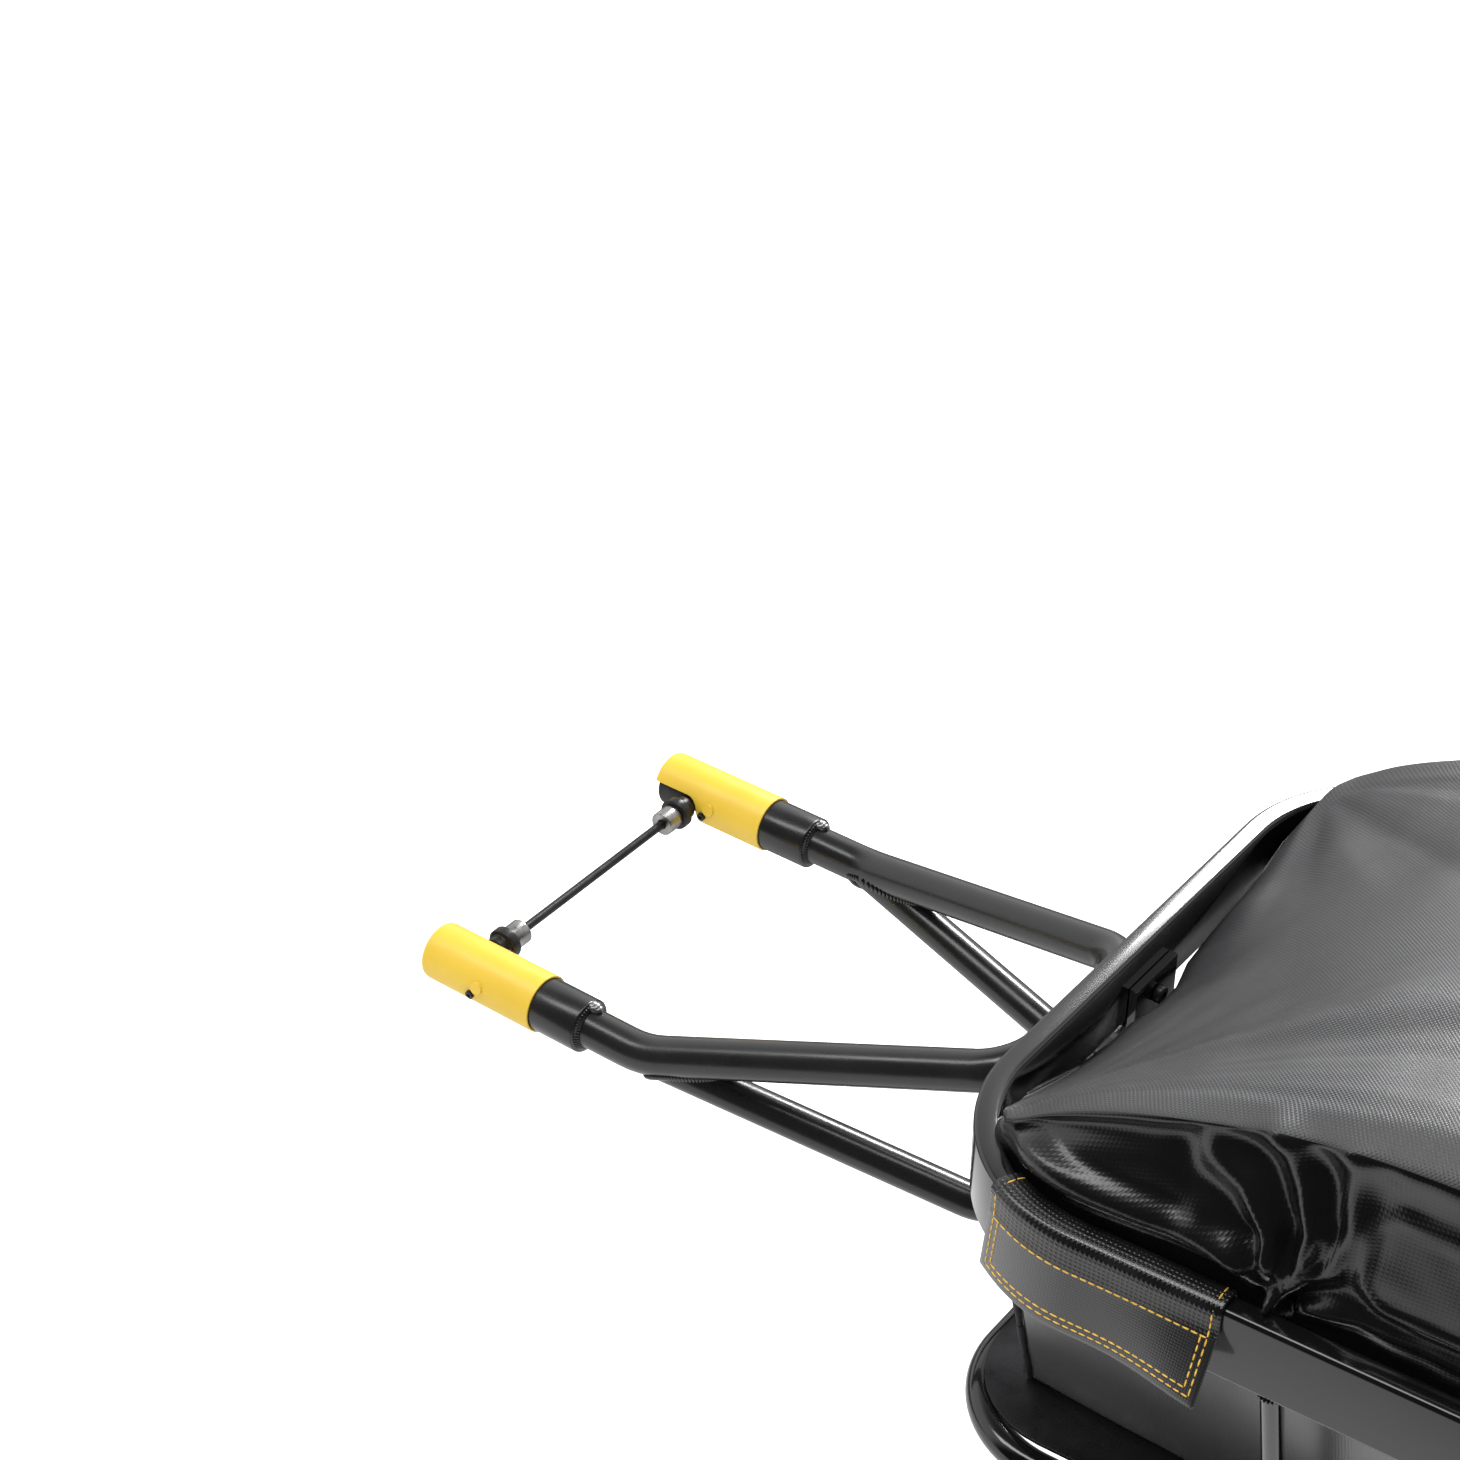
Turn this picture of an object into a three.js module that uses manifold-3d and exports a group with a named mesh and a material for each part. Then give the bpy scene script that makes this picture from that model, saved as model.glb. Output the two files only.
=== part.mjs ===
// Single wheel touring trailer for a bicycle, in millimetres.
// The origin is the middle of the towing bicycle's rear axle: +X runs back along the trailer,
// +Y to its right-hand side and +Z up.
import * as THREE from 'three';
import { mergeVertices } from 'three/addons/utils/BufferGeometryUtils.js';
import Module from 'manifold-3d';

const wasm = await Module();
wasm.setup();

// Clearances and rounding shared by every piece
const fitGap = 0.3;
const cutOverrun = 2;
const arcStep = THREE.MathUtils.degToRad(15);
const tubeSides = 12;
const boreSides = 8;
const roundSegments = 16;

// Hitch: one spring-loaded lock on each side of the towing axle
const hitchHalfSpan = 117;
const hitchBodyDiameter = 35;
const hitchBodyRearX = 94;
const jawReach = 26;
const jawRearX = 10;
const jawStudDiameter = 12;
const jawStudLength = 12;
const jawEdge = 2;
const neckDiameter = 25;
const neckRearX = 58;
const sleeveWall = 1.2;
const sleeveFrontLip = 2;
const sleeveRearX = 59.4;
const sleeveNotchTopZ = 8;
const sleeveNotchRearX = 8;
const sleeveNotchRadius = 8;
const sleeveShoulderLength = 6;
const springWire = 1.6;
const springMeanRadius = 14.3;
const springTurns = 4;
const sleeveScrewDiameter = 4;
const sleeveScrewDrop = THREE.MathUtils.degToRad(8);

// Hitch axle that replaces the quick release of the towing wheel
const axleRodDiameter = 6;
const axlePegDiameter = 12;
const axlePegReach = 7;
const axlePegEndGap = 1;
const axleNutInnerY = 71;
const axleNutFlangeY = 84;
const axleNutOuterY = 91;
const axleNutDiameter = 17;
const axleNutFlangeDiameter = 22;

// Yoke: an upper and a lower bent tube that meet the steering head behind the towing wheel
const yokeTubeDiameter = 25.4;
const yokeTubeWall = 2.4;
const yokeBendX = 138;
const yokeBendRadius = 70;
const yokeBridgeX = 367;
const yokeBridgeHalfSpan = 63;
const yokeBridgeZ = 72;
const yokeCornerRadius = 34;
const braceTubeDiameter = 22.2;
const braceTubeWall = 2.2;
const braceStartX = 132;
const braceBridgeHalfSpan = 67;
const braceBridgeZ = -36;
const braceCornerRadius = 34;

// Steering head, its bushes and the king pin
const headTubeDiameter = 30;
const headTubeBore = 24;
const headTubeTopZ = 86;
const headTubeBottomZ = -50;
const bushFlange = 1.5;
const bushLength = 18;
const kingPinDiameter = 12;
const kingPinHeadDiameter = 19;
const kingPinHeadHeight = 6;
const kingPinNutHeight = 6.5;
const kingPinNutDiameter = 20;
const bracketPlate = 5;
const bracketWidth = 44;
const bracketTopZ = 128;
const bracketBottomZ = -94;
const bracketBoltDiameter = 6;
const bracketBoltHeadDiameter = 11;
const bracketBoltHeadHeight = 5;
const bracketBoltReach = 6;
const bracketBoltUpperZ = 114;

// Basket: a deep flat rim above and a round rail below
const rimFrontX = 396;
const rimRearX = 1045;
const rimFrontHalfWidth = 234;
const rimRearHalfWidth = 197;
const rimTopZ = 149;
const rimHeight = 45;
const rimThickness = 14;
const rimFrontRadius = 100;
const rimRearRadius = 70;
const rimEdge = 2.4;
const lowerRailDiameter = 19;
const lowerRailWall = 2;
const lowerRailZ = -79;
const lowerRailFrontHalfWidth = 187;
const lowerRailFrontRadius = 65;
const lowerRailWaistX = 1010;
const lowerRailWaistHalfWidth = 150;
const lowerRailWaistRadius = 90;
const strutDiameter = 12;
const strutShares = [0.33, 0.58, 0.83];
const crossTubeX = 985;
const floorThickness = 2.5;
const floorSlotLength = 70;
const floorSlotWidth = 40;
const floorSlotPitchX = 90;
const floorSlotPitchY = 82;
const floorSlotRows = 6;
const floorSlotColumns = 3;

// Wheel, its axle and what carries it
const wheelX = 1280;
const wheelZ = -125;
const beadSeatRadius = 153;
const tyreHeight = 47;
const tyreHalfWidth = 23.5;
const tyreWall = 3.2;
const wheelRimLip = 6;
const wheelRimHalfWidth = 12.5;
const wheelRimWall = 2;
const wheelRimDepth = 13;
const hubHalfLength = 36;
const hubRadius = 15.5;
const hubFlangeRadius = 25;
const hubFlangeY = 29;
const hubFlangeThickness = 3;
const spokeCount = 20;
const spokeDiameter = 2.3;
const spokeLacing = THREE.MathUtils.degToRad(22);
const spokeRimOffset = 3;
const bearingRadius = 12;
const bearingWidth = 8;
const axleDiameter = 9.5;
const axleSpacerDiameter = 16;
const axleBore = 5.6;
const skewerDiameter = 5;
const dropoutInnerY = 50.5;
const dropoutThickness = 4;
const dropoutFrontReach = 30;
const dropoutRearReach = 22;
const dropoutRise = 25;
const dropoutFall = 15;
const dropoutFrontX = wheelX - dropoutFrontReach;
const dropoutRearX = wheelX + dropoutRearReach;
const dropoutTopZ = wheelZ + dropoutRise;
const dropoutBottomZ = wheelZ - dropoutFall;
const dropoutTopLength = 25;
const dropoutChamfer = 12;
const stayEndLength = 24;
const lowerStayRise = 8;
const lowerStayEndZ = wheelZ + lowerStayRise;
const lowerStayBend = 60;
const upperStayDiameter = 15.9;
const upperStayWall = 1.8;
const upperStayStartHalfSpan = 105;
const upperStayRunX = 52;
const upperStayEndSetback = 17;
const upperStayEndX = wheelX - upperStayEndSetback;
const upperStayDrop = 34;
const upperStayBend = 70;
const camDiameter = 20;
const camLength = 13;
const qrNutDiameter = 18;
const qrNutLength = 11;
const leverBossRadius = 7;
const leverLength = 52;
const leverThickness = 5;
const leverHeight = 11;

// Mudguard and reflector
const guardClearance = 14;
const guardWidth = 58;
const guardCrown = 8;
const guardThickness = 1.8;
const guardFrontAngle = THREE.MathUtils.degToRad(172);
const guardRearAngle = THREE.MathUtils.degToRad(-18);
const guardStayDiameter = 4;
const guardStayAngle = THREE.MathUtils.degToRad(12);
const guardStayFootX = 1294;
const guardStayFootZ = -121;
const guardStayFootY = 58;
const guardTabWidth = 24;
const guardTabHeight = 10;
const reflectorShare = 0.31;
const reflectorWidth = 64;
const reflectorHeight = 34;
const reflectorDepth = 9;
const lensInset = 3;
const lensDepth = 3;

// Dry bag and the four flaps that hold it to the rim
const bagFrontX = 424;
const bagFootX = 431;
const bagRearX = 1024;
const bagFrontZ = 113;
const bagTopZ = 272;
const bagSideGap = 9;
const bagBottomGap = 0.3;
const bagBellyDrop = 46;
const bagHipDrop = 24;
const bagStrutGap = 5;
const bagFrontRadius = 66;
const bagRearRadius = 60;
const bagFoldHalfWidth = 180;
const bagFoldInset = 7;
const bagSideStep = 10;
const bagSeamShare = 0.4;
const bagCrownWidthShare = 0.6;
const bagCrownShare = 0.65;
// Along the bag: each place, and how high the fold at its side and its middle rise there
const bagStationShares = [
  [0, 0.157, 0], [0.008, 0.226, 0.038], [0.022, 0.296, 0.1], [0.04, 0.365, 0.182], [0.068, 0.453, 0.308],
  [0.11, 0.553, 0.472], [0.16, 0.642, 0.623], [0.227, 0.742, 0.774], [0.31, 0.836, 0.893],
  [0.41, 0.893, 0.969], [0.527, 0.918, 1], [0.643, 0.925, 0.994], [0.743, 0.912, 0.969],
  [0.827, 0.887, 0.918], [0.9, 0.811, 0.83], [0.94, 0.711, 0.723], [0.973, 0.56, 0.566],
  [0.992, 0.434, 0.434], [1, 0.333, 0.327],
];
const rollRadius = 17;
const rollHalfLength = 145;
const rollX = 952;
const flapThickness = 2.4;
const flapLength = 132;
const flapHang = 10;
const flapInnerDrop = 26;
const flapGap = 0.5;
const flapFrontSetback = 57;
const flapRearSetback = 77;

const black = { color: 0x0d0d0e, roughness: 0.38, metalness: 0.25 };
const satinBlack = { color: 0x151516, roughness: 0.34, metalness: 0.4 };
const steel = { color: 0xa8a9ab, roughness: 0.32, metalness: 0.9 };
const darkSteel = { color: 0x2b2b2d, roughness: 0.4, metalness: 0.8 };
const yellow = { color: 0xf7c512, roughness: 0.42, metalness: 0 };
const rubber = { color: 0x17171a, roughness: 0.85, metalness: 0 };
const plastic = { color: 0x101012, roughness: 0.5, metalness: 0 };
const red = { color: 0xb3120e, roughness: 0.15, metalness: 0 };
const matteCloth = { color: 0x2c2c30, roughness: 0.6, metalness: 0 };
const glossCloth = { color: 0x0e0e10, roughness: 0.3, metalness: 0 };

const trailer = new THREE.Group();

function addPiece(name, geometry, look) {
  const mesh = new THREE.Mesh(geometry, new THREE.MeshStandardMaterial(look));
  mesh.name = name;
  trailer.add(mesh);
  return mesh;
}

// Solids for the boolean joins and cuts

function toSolid(geometry) {
  const bare = geometry.index ? geometry.toNonIndexed() : geometry.clone();
  for (const key of Object.keys(bare.attributes)) {
    if (key !== 'position') {
      bare.deleteAttribute(key);
    }
  }
  const merged = mergeVertices(bare);
  return new wasm.Manifold(new wasm.Mesh({
    numProp: 3,
    vertProperties: new Float32Array(merged.attributes.position.array),
    triVerts: new Uint32Array(merged.index.array),
  }));
}

function fromSolid(solid) {
  const mesh = solid.getMesh();
  const geometry = new THREE.BufferGeometry();
  geometry.setAttribute('position', new THREE.BufferAttribute(new Float32Array(mesh.vertProperties), 3));
  geometry.setIndex(new THREE.BufferAttribute(new Uint32Array(mesh.triVerts), 1));
  geometry.computeVertexNormals();
  return geometry;
}

function cut(geometry, ...tools) {
  let solid = toSolid(geometry);
  for (const tool of tools) {
    solid = solid.subtract(toSolid(tool));
  }
  return fromSolid(solid);
}

function join(geometry, ...others) {
  let solid = toSolid(geometry);
  for (const other of others) {
    solid = solid.add(toSolid(other));
  }
  return fromSolid(solid);
}

// A path of straight runs and round bends, with its rings only where it bends
class BentPath extends THREE.Curve {
  constructor(points, radii) {
    super();
    this.stations = [];
    this.addStation(points[0], points[1].clone().sub(points[0]));
    for (let i = 1; i < points.length - 1; i += 1) {
      this.addBend(points[i - 1], points[i], points[i + 1], radii[i - 1]);
    }
    const last = points.length - 1;
    this.addStation(points[last], points[last].clone().sub(points[last - 1]));
  }

  addStation(point, direction) {
    this.stations.push({ point: point.clone(), tangent: direction.clone().normalize() });
  }

  addBend(before, corner, after, radius) {
    const inward = corner.clone().sub(before).normalize();
    const outward = after.clone().sub(corner).normalize();
    const angle = inward.angleTo(outward);
    const reach = radius * Math.tan(angle / 2);
    const start = corner.clone().addScaledVector(inward, -reach);
    const axis = inward.clone().cross(outward).normalize();
    const side = axis.clone().cross(inward);
    const centre = start.clone().addScaledVector(side, radius);
    const count = Math.max(2, Math.ceil(angle / arcStep));
    for (let i = 0; i <= count; i += 1) {
      const turn = (angle * i) / count;
      const arm = side.clone().multiplyScalar(-radius).applyAxisAngle(axis, turn);
      this.addStation(centre.clone().add(arm), inward.clone().applyAxisAngle(axis, turn));
    }
  }

  stationAt(share) {
    return this.stations[Math.round(share * (this.stations.length - 1))];
  }

  getPointAt(share, target = new THREE.Vector3()) {
    return target.copy(this.stationAt(share).point);
  }

  getTangentAt(share, target = new THREE.Vector3()) {
    return target.copy(this.stationAt(share).tangent);
  }
}

function circlePoints(radius, sides) {
  const points = [];
  for (let i = 0; i < sides; i += 1) {
    const angle = (2 * Math.PI * (i + 0.5)) / sides;
    points.push(new THREE.Vector2(radius * Math.cos(angle), radius * Math.sin(angle)));
  }
  return points;
}

function sweep(path, outline, hole) {
  const shape = new THREE.Shape(outline);
  if (hole) {
    shape.holes.push(new THREE.Path(hole));
  }
  return new THREE.ExtrudeGeometry(shape, { steps: path.stations.length - 1, extrudePath: path });
}

function bentTube(points, radii, diameter, wall) {
  const outline = circlePoints(diameter / 2, tubeSides);
  const hole = wall ? circlePoints(diameter / 2 - wall, boreSides) : null;
  return sweep(new BentPath(points, radii), outline, hole);
}

function at(x, y, z) {
  return new THREE.Vector3(x, y, z);
}

function plate(outline, thickness, holes = []) {
  const shape = new THREE.Shape(outline);
  for (const hole of holes) {
    shape.holes.push(new THREE.Path(hole));
  }
  return new THREE.ExtrudeGeometry(shape, { depth: thickness, bevelEnabled: false });
}

// A box between any two opposite corners
function block(corner, opposite) {
  const box = new THREE.Box3().setFromPoints([corner, opposite]);
  const size = box.getSize(new THREE.Vector3());
  const centre = box.getCenter(new THREE.Vector3());
  return new THREE.BoxGeometry(size.x, size.y, size.z).translate(centre.x, centre.y, centre.z);
}

function rod(radius, length, sides) {
  return new THREE.CylinderGeometry(radius, radius, length, sides);
}

// A turned piece: pairs of radius and place along its axis, which is +X, +Y or +Z
function turned(profile, axis, segments) {
  const points = profile.map(([radius, along]) => new THREE.Vector2(radius, along));
  const geometry = new THREE.LatheGeometry(points, segments);
  if (axis === 'x') {
    geometry.rotateZ(-Math.PI / 2);
  }
  if (axis === 'z') {
    geometry.rotateX(Math.PI / 2);
  }
  return geometry;
}

// A closed ring profile, from a low to a high place along the axis
function ringProfile(inner, outer, low, high) {
  return [[inner, low], [outer, low], [outer, high], [inner, high], [inner, low]];
}

function barProfile(radius, low, high) {
  return [[0, low], [radius, low], [radius, high], [0, high]];
}

// A polygon in plan with round corners
function roundedOutline(corners, radii) {
  const points = [];
  const total = corners.length;
  for (let i = 0; i < total; i += 1) {
    const here = corners[i];
    const inward = here.clone().sub(corners[(i + total - 1) % total]).normalize();
    const outward = corners[(i + 1) % total].clone().sub(here).normalize();
    const angle = Math.acos(THREE.MathUtils.clamp(inward.dot(outward), -1, 1));
    const turn = Math.sign(inward.x * outward.y - inward.y * outward.x);
    const start = here.clone().addScaledVector(inward, -radii[i] * Math.tan(angle / 2));
    const normal = new THREE.Vector2(-inward.y, inward.x).multiplyScalar(turn);
    const centre = start.clone().addScaledVector(normal, radii[i]);
    const count = Math.max(1, Math.ceil(angle / arcStep));
    for (let k = 0; k <= count; k += 1) {
      const arm = normal.clone().multiplyScalar(-radii[i]);
      points.push(arm.rotateAround(new THREE.Vector2(), (turn * angle * k) / count).add(centre));
    }
  }
  return points;
}

function mirrorY(points) {
  return points.map((point) => at(point.x, -point.y, point.z));
}

// Hitch

const hitchRadius = hitchBodyDiameter / 2;
const neckRadius = neckDiameter / 2;
const sleeveBore = hitchRadius + fitGap;
const sleeveRadius = sleeveBore + sleeveWall;
const sleeveFrontX = -jawReach - sleeveFrontLip;
const neckFrontX = jawRearX + fitGap;
const pegRadius = axlePegDiameter / 2;
const studRadius = jawStudDiameter / 2;
const axlePegHalfSpan = hitchHalfSpan + axlePegReach;
const hitchSegments = 24;

const shoulderFrontX = neckFrontX;
const shoulderRearX = shoulderFrontX + sleeveShoulderLength;
const shoulderBore = neckRadius + fitGap;
const screwX = (shoulderFrontX + shoulderRearX) / 2;

// The slot that drops over the axle peg from the wheel's side: round above and open below
function jawSlot(side) {
  const width = pegRadius + fitGap;
  const open = -side * (hitchRadius + cutOverrun);
  const end = side * (axlePegReach + axlePegEndGap);
  const channel = block(at(-width, open, -hitchRadius - cutOverrun), at(width, end, 0));
  const round = rod(width, Math.abs(open - end), hitchSegments).translate(0, (open + end) / 2, 0);
  return join(channel, round);
}

// The sleeve is cut away on the wheel's side, from above the peg down through its bottom
function sleeveNotch(side) {
  const reach = sleeveRadius + cutOverrun;
  const front = sleeveFrontX - cutOverrun;
  const outline = roundedOutline([
    new THREE.Vector2(front, -reach), new THREE.Vector2(sleeveNotchRearX, -reach),
    new THREE.Vector2(sleeveNotchRearX, sleeveNotchTopZ), new THREE.Vector2(front, sleeveNotchTopZ),
  ], [0, 0, sleeveNotchRadius, 0]);
  const shift = side < 0 ? reach : 0;
  return plate(outline, reach).rotateX(Math.PI / 2).translate(0, shift, 0);
}

// Both set screws are turned to the left and a little down
function sleeveScrew(radius, inner, outer) {
  const direction = at(0, -Math.cos(sleeveScrewDrop), -Math.sin(sleeveScrewDrop));
  const tip = direction.clone().multiplyScalar(outer);
  const foot = direction.clone().multiplyScalar(inner);
  return straightRod(foot, tip, radius, 12).translate(screwX, 0, 0);
}

function buildHitch(side, label) {
  const place = side * hitchHalfSpan;
  const jaw = turned([
    [0, -jawReach], [hitchRadius - jawEdge, -jawReach], [hitchRadius, -jawReach + jawEdge],
    [hitchRadius, jawRearX], [studRadius, jawRearX],
    [studRadius, jawRearX + jawStudLength], [0, jawRearX + jawStudLength],
  ], 'x', hitchSegments);
  addPiece(`hitch_jaw_${label}`, cut(jaw, jawSlot(side)).translate(0, place, 0), darkSteel);

  const boreEnd = jawRearX + jawStudLength + fitGap;
  const body = turned([
    [0, boreEnd], [studRadius + fitGap, boreEnd], [studRadius + fitGap, neckFrontX],
    [neckRadius, neckFrontX], [neckRadius, neckRearX],
    [hitchRadius, neckRearX], [hitchRadius, hitchBodyRearX], [0, hitchBodyRearX],
  ], 'x', hitchSegments);
  addPiece(`hitch_body_${label}`, body.translate(0, place, 0), satinBlack);

  const shell = turned([
    [sleeveBore, sleeveFrontX], [sleeveRadius, sleeveFrontX], [sleeveRadius, sleeveRearX],
    [sleeveBore, sleeveRearX], [sleeveBore, shoulderRearX], [shoulderBore, shoulderRearX],
    [shoulderBore, shoulderFrontX], [sleeveBore, shoulderFrontX], [sleeveBore, sleeveFrontX],
  ], 'x', hitchSegments);
  const screwRadius = sleeveScrewDiameter / 2;
  const screwHole = sleeveScrew(screwRadius + fitGap, shoulderBore - cutOverrun, sleeveRadius + cutOverrun);
  addPiece(`lock_sleeve_${label}`, cut(shell, sleeveNotch(side), screwHole).translate(0, place, 0), yellow);
  const screw = sleeveScrew(screwRadius, shoulderBore + fitGap, sleeveRadius);
  addPiece(`sleeve_screw_${label}`, screw.translate(0, place, 0), darkSteel);

  const springLow = shoulderRearX + fitGap + springWire / 2;
  const springHigh = neckRearX - fitGap - springWire / 2;
  addPiece(`sleeve_spring_${label}`, coil(springLow, springHigh).translate(0, place, 0), steel);
}

// A compression spring along +X, as one wire
function coil(low, high) {
  const path = new BentPath([at(low, 0, 0), at(high, 0, 0)], []);
  const stepsPerTurn = 8;
  const steps = Math.round(springTurns * stepsPerTurn);
  path.stations = [];
  for (let i = 0; i <= steps; i += 1) {
    const angle = (2 * Math.PI * i) / stepsPerTurn;
    const arm = at(0, Math.cos(angle), Math.sin(angle)).multiplyScalar(springMeanRadius);
    const climb = (high - low) / (springTurns * 2 * Math.PI);
    const tangent = at(climb, -springMeanRadius * Math.sin(angle), springMeanRadius * Math.cos(angle));
    path.addStation(arm.add(at(low + climb * angle, 0, 0)), tangent);
  }
  const outline = circlePoints(springWire / 2, 5);
  const coilGap = (high - low) / springTurns - springWire;
  console.log('least gap between spring turns, mm:', coilGap.toFixed(2));
  return sweep(path, outline);
}

function buildHitchAxle() {
  const rodRadius = axleRodDiameter / 2;
  const pegStart = (axleNutInnerY + axleNutOuterY) / 2;
  addPiece('hitch_axle_rod', turned([
    [0, -axlePegHalfSpan], [pegRadius, -axlePegHalfSpan], [pegRadius, -pegStart],
    [rodRadius, -pegStart], [rodRadius, pegStart],
    [pegRadius, pegStart], [pegRadius, axlePegHalfSpan], [0, axlePegHalfSpan],
  ], 'y', roundSegments), steel);
  for (const [side, label] of [[-1, 'left'], [1, 'right']]) {
    const nut = turned([
      [rodRadius + fitGap, axleNutInnerY], [axleNutDiameter / 2, axleNutInnerY],
      [axleNutDiameter / 2, axleNutFlangeY], [axleNutFlangeDiameter / 2, axleNutFlangeY],
      [axleNutFlangeDiameter / 2, axleNutOuterY], [pegRadius + fitGap, axleNutOuterY],
      [pegRadius + fitGap, pegStart - fitGap], [rodRadius + fitGap, pegStart - fitGap],
      [rodRadius + fitGap, axleNutInnerY],
    ], 'y', roundSegments);
    if (side < 0) {
      nut.rotateZ(Math.PI);
    }
    addPiece(`hitch_axle_nut_${label}`, nut, darkSteel);
  }
}

// Yoke

const headSegments = 20;
const headRadius = headTubeDiameter / 2;
const headX = yokeBridgeX + yokeTubeDiameter / 2 + fitGap + headRadius;
const braceBridgeX = headX - headRadius - fitGap - braceTubeDiameter / 2;
const yokeStartX = hitchBodyRearX + fitGap;

function yokePoints() {
  const right = [
    at(yokeStartX, hitchHalfSpan, 0), at(yokeBendX, hitchHalfSpan, 0),
    at(yokeBridgeX, yokeBridgeHalfSpan, yokeBridgeZ),
  ];
  return [...mirrorY(right), ...right.reverse()];
}

const yokeRadii = [yokeBendRadius, yokeCornerRadius, yokeCornerRadius, yokeBendRadius];

function buildYoke() {
  addPiece('yoke_upper_tube', bentTube(yokePoints(), yokeRadii, yokeTubeDiameter, yokeTubeWall), satinBlack);
  const around = bentTube(yokePoints(), yokeRadii, yokeTubeDiameter + 2 * fitGap, 0);
  const right = [
    at(braceStartX, hitchHalfSpan, 0), at(braceBridgeX, braceBridgeHalfSpan, braceBridgeZ),
  ];
  const points = [...mirrorY(right), ...right.reverse()];
  const radii = [braceCornerRadius, braceCornerRadius];
  const brace = bentTube(points, radii, braceTubeDiameter, braceTubeWall);
  addPiece('yoke_lower_tube', cut(brace, around), satinBlack);

  addPiece('steering_head_tube', turned(
    ringProfile(headTubeBore / 2, headRadius, headTubeBottomZ, headTubeTopZ), 'z', headSegments,
  ).translate(headX, 0, 0), satinBlack);
  const bushOuter = headTubeBore / 2 - fitGap;
  const bushBore = kingPinDiameter / 2 + fitGap;
  const flangeLow = headTubeTopZ + fitGap;
  const bush = turned([
    [bushBore, flangeLow - bushLength], [bushOuter, flangeLow - bushLength], [bushOuter, flangeLow],
    [headRadius, flangeLow], [headRadius, flangeLow + bushFlange],
    [bushBore, flangeLow + bushFlange], [bushBore, flangeLow - bushLength],
  ], 'z', headSegments);
  addPiece('head_bush_upper', bush.clone().translate(headX, 0, 0), plastic);
  const middle = headTubeTopZ + headTubeBottomZ;
  addPiece('head_bush_lower', bush.rotateX(Math.PI).translate(headX, 0, middle), plastic);
}

// Pivot bracket, king pin and bolts

const upperLugLowZ = headTubeTopZ + 2 * fitGap + bushFlange;
const upperLugHighZ = upperLugLowZ + bracketPlate;
const lowerLugHighZ = headTubeBottomZ - 2 * fitGap - bushFlange;
const lowerLugLowZ = lowerLugHighZ - bracketPlate;
const rimInnerX = rimFrontX + rimThickness;
const bracketFrontX = rimInnerX + fitGap;
const bracketRearX = bracketFrontX + bracketPlate;

function lugPlate(low) {
  const corner = bracketWidth / 2;
  const outline = roundedOutline([
    new THREE.Vector2(headX - headRadius, -corner), new THREE.Vector2(bracketFrontX + rimEdge, -corner),
    new THREE.Vector2(bracketFrontX + rimEdge, corner), new THREE.Vector2(headX - headRadius, corner),
  ], [headRadius, 0, 0, headRadius]);
  return plate(outline, bracketPlate).translate(0, 0, low);
}

function boltHole(z) {
  const length = bracketRearX + cutOverrun - (rimInnerX - bracketBoltReach - fitGap);
  return rod(bracketBoltDiameter / 2 + fitGap, length, 12).rotateZ(Math.PI / 2)
    .translate(bracketRearX + cutOverrun - length / 2, 0, z);
}

function buildPivot() {
  const back = block(
    at(bracketFrontX, -bracketWidth / 2, bracketBottomZ), at(bracketRearX, bracketWidth / 2, bracketTopZ),
  );
  const reach = upperLugHighZ - lowerLugLowZ + 2 * cutOverrun;
  const pinHole = rod(kingPinDiameter / 2 + fitGap, reach, 16).rotateX(Math.PI / 2)
    .translate(headX, 0, (upperLugHighZ + lowerLugLowZ) / 2);
  const solid = join(back, lugPlate(upperLugLowZ), lugPlate(lowerLugLowZ));
  addPiece('pivot_bracket', cut(solid, pinHole, boltHole(bracketBoltUpperZ), boltHole(lowerRailZ)), satinBlack);

  const pinRadius = kingPinDiameter / 2;
  const headHighZ = lowerLugLowZ - fitGap;
  const nutLowZ = upperLugHighZ + fitGap;
  addPiece('king_pin', turned([
    [0, headHighZ - kingPinHeadHeight], [kingPinHeadDiameter / 2, headHighZ - kingPinHeadHeight],
    [kingPinHeadDiameter / 2, headHighZ], [pinRadius, headHighZ],
    [pinRadius, nutLowZ + kingPinNutHeight], [0, nutLowZ + kingPinNutHeight],
  ], 'z', roundSegments).translate(headX, 0, 0), steel);
  const hexagon = plate(circlePoints(kingPinNutDiameter / 2, 6), kingPinNutHeight, [
    circlePoints(pinRadius + fitGap, roundSegments),
  ]);
  addPiece('king_pin_nut', hexagon.translate(headX, 0, nutLowZ), steel);

  for (const [label, z] of [['upper', bracketBoltUpperZ], ['lower', lowerRailZ]]) {
    const headLow = bracketRearX + fitGap;
    addPiece(`bracket_bolt_${label}`, turned([
      [0, rimInnerX - bracketBoltReach], [bracketBoltDiameter / 2, rimInnerX - bracketBoltReach],
      [bracketBoltDiameter / 2, headLow], [bracketBoltHeadDiameter / 2, headLow],
      [bracketBoltHeadDiameter / 2, headLow + bracketBoltHeadHeight], [0, headLow + bracketBoltHeadHeight],
    ], 'x', 12).translate(0, 0, z), steel);
  }
}

// Basket

const rimBottomZ = rimTopZ - rimHeight;
const lowerRailRadius = lowerRailDiameter / 2;
const lowerRailFrontX = rimInnerX - lowerRailRadius;
const floorLowZ = lowerRailZ + lowerRailRadius + fitGap;
const floorTopZ = floorLowZ + floorThickness;

function rimHalfWidth(x) {
  const share = (x - rimFrontX) / (rimRearX - rimFrontX);
  return THREE.MathUtils.lerp(rimFrontHalfWidth, rimRearHalfWidth, share);
}

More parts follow.
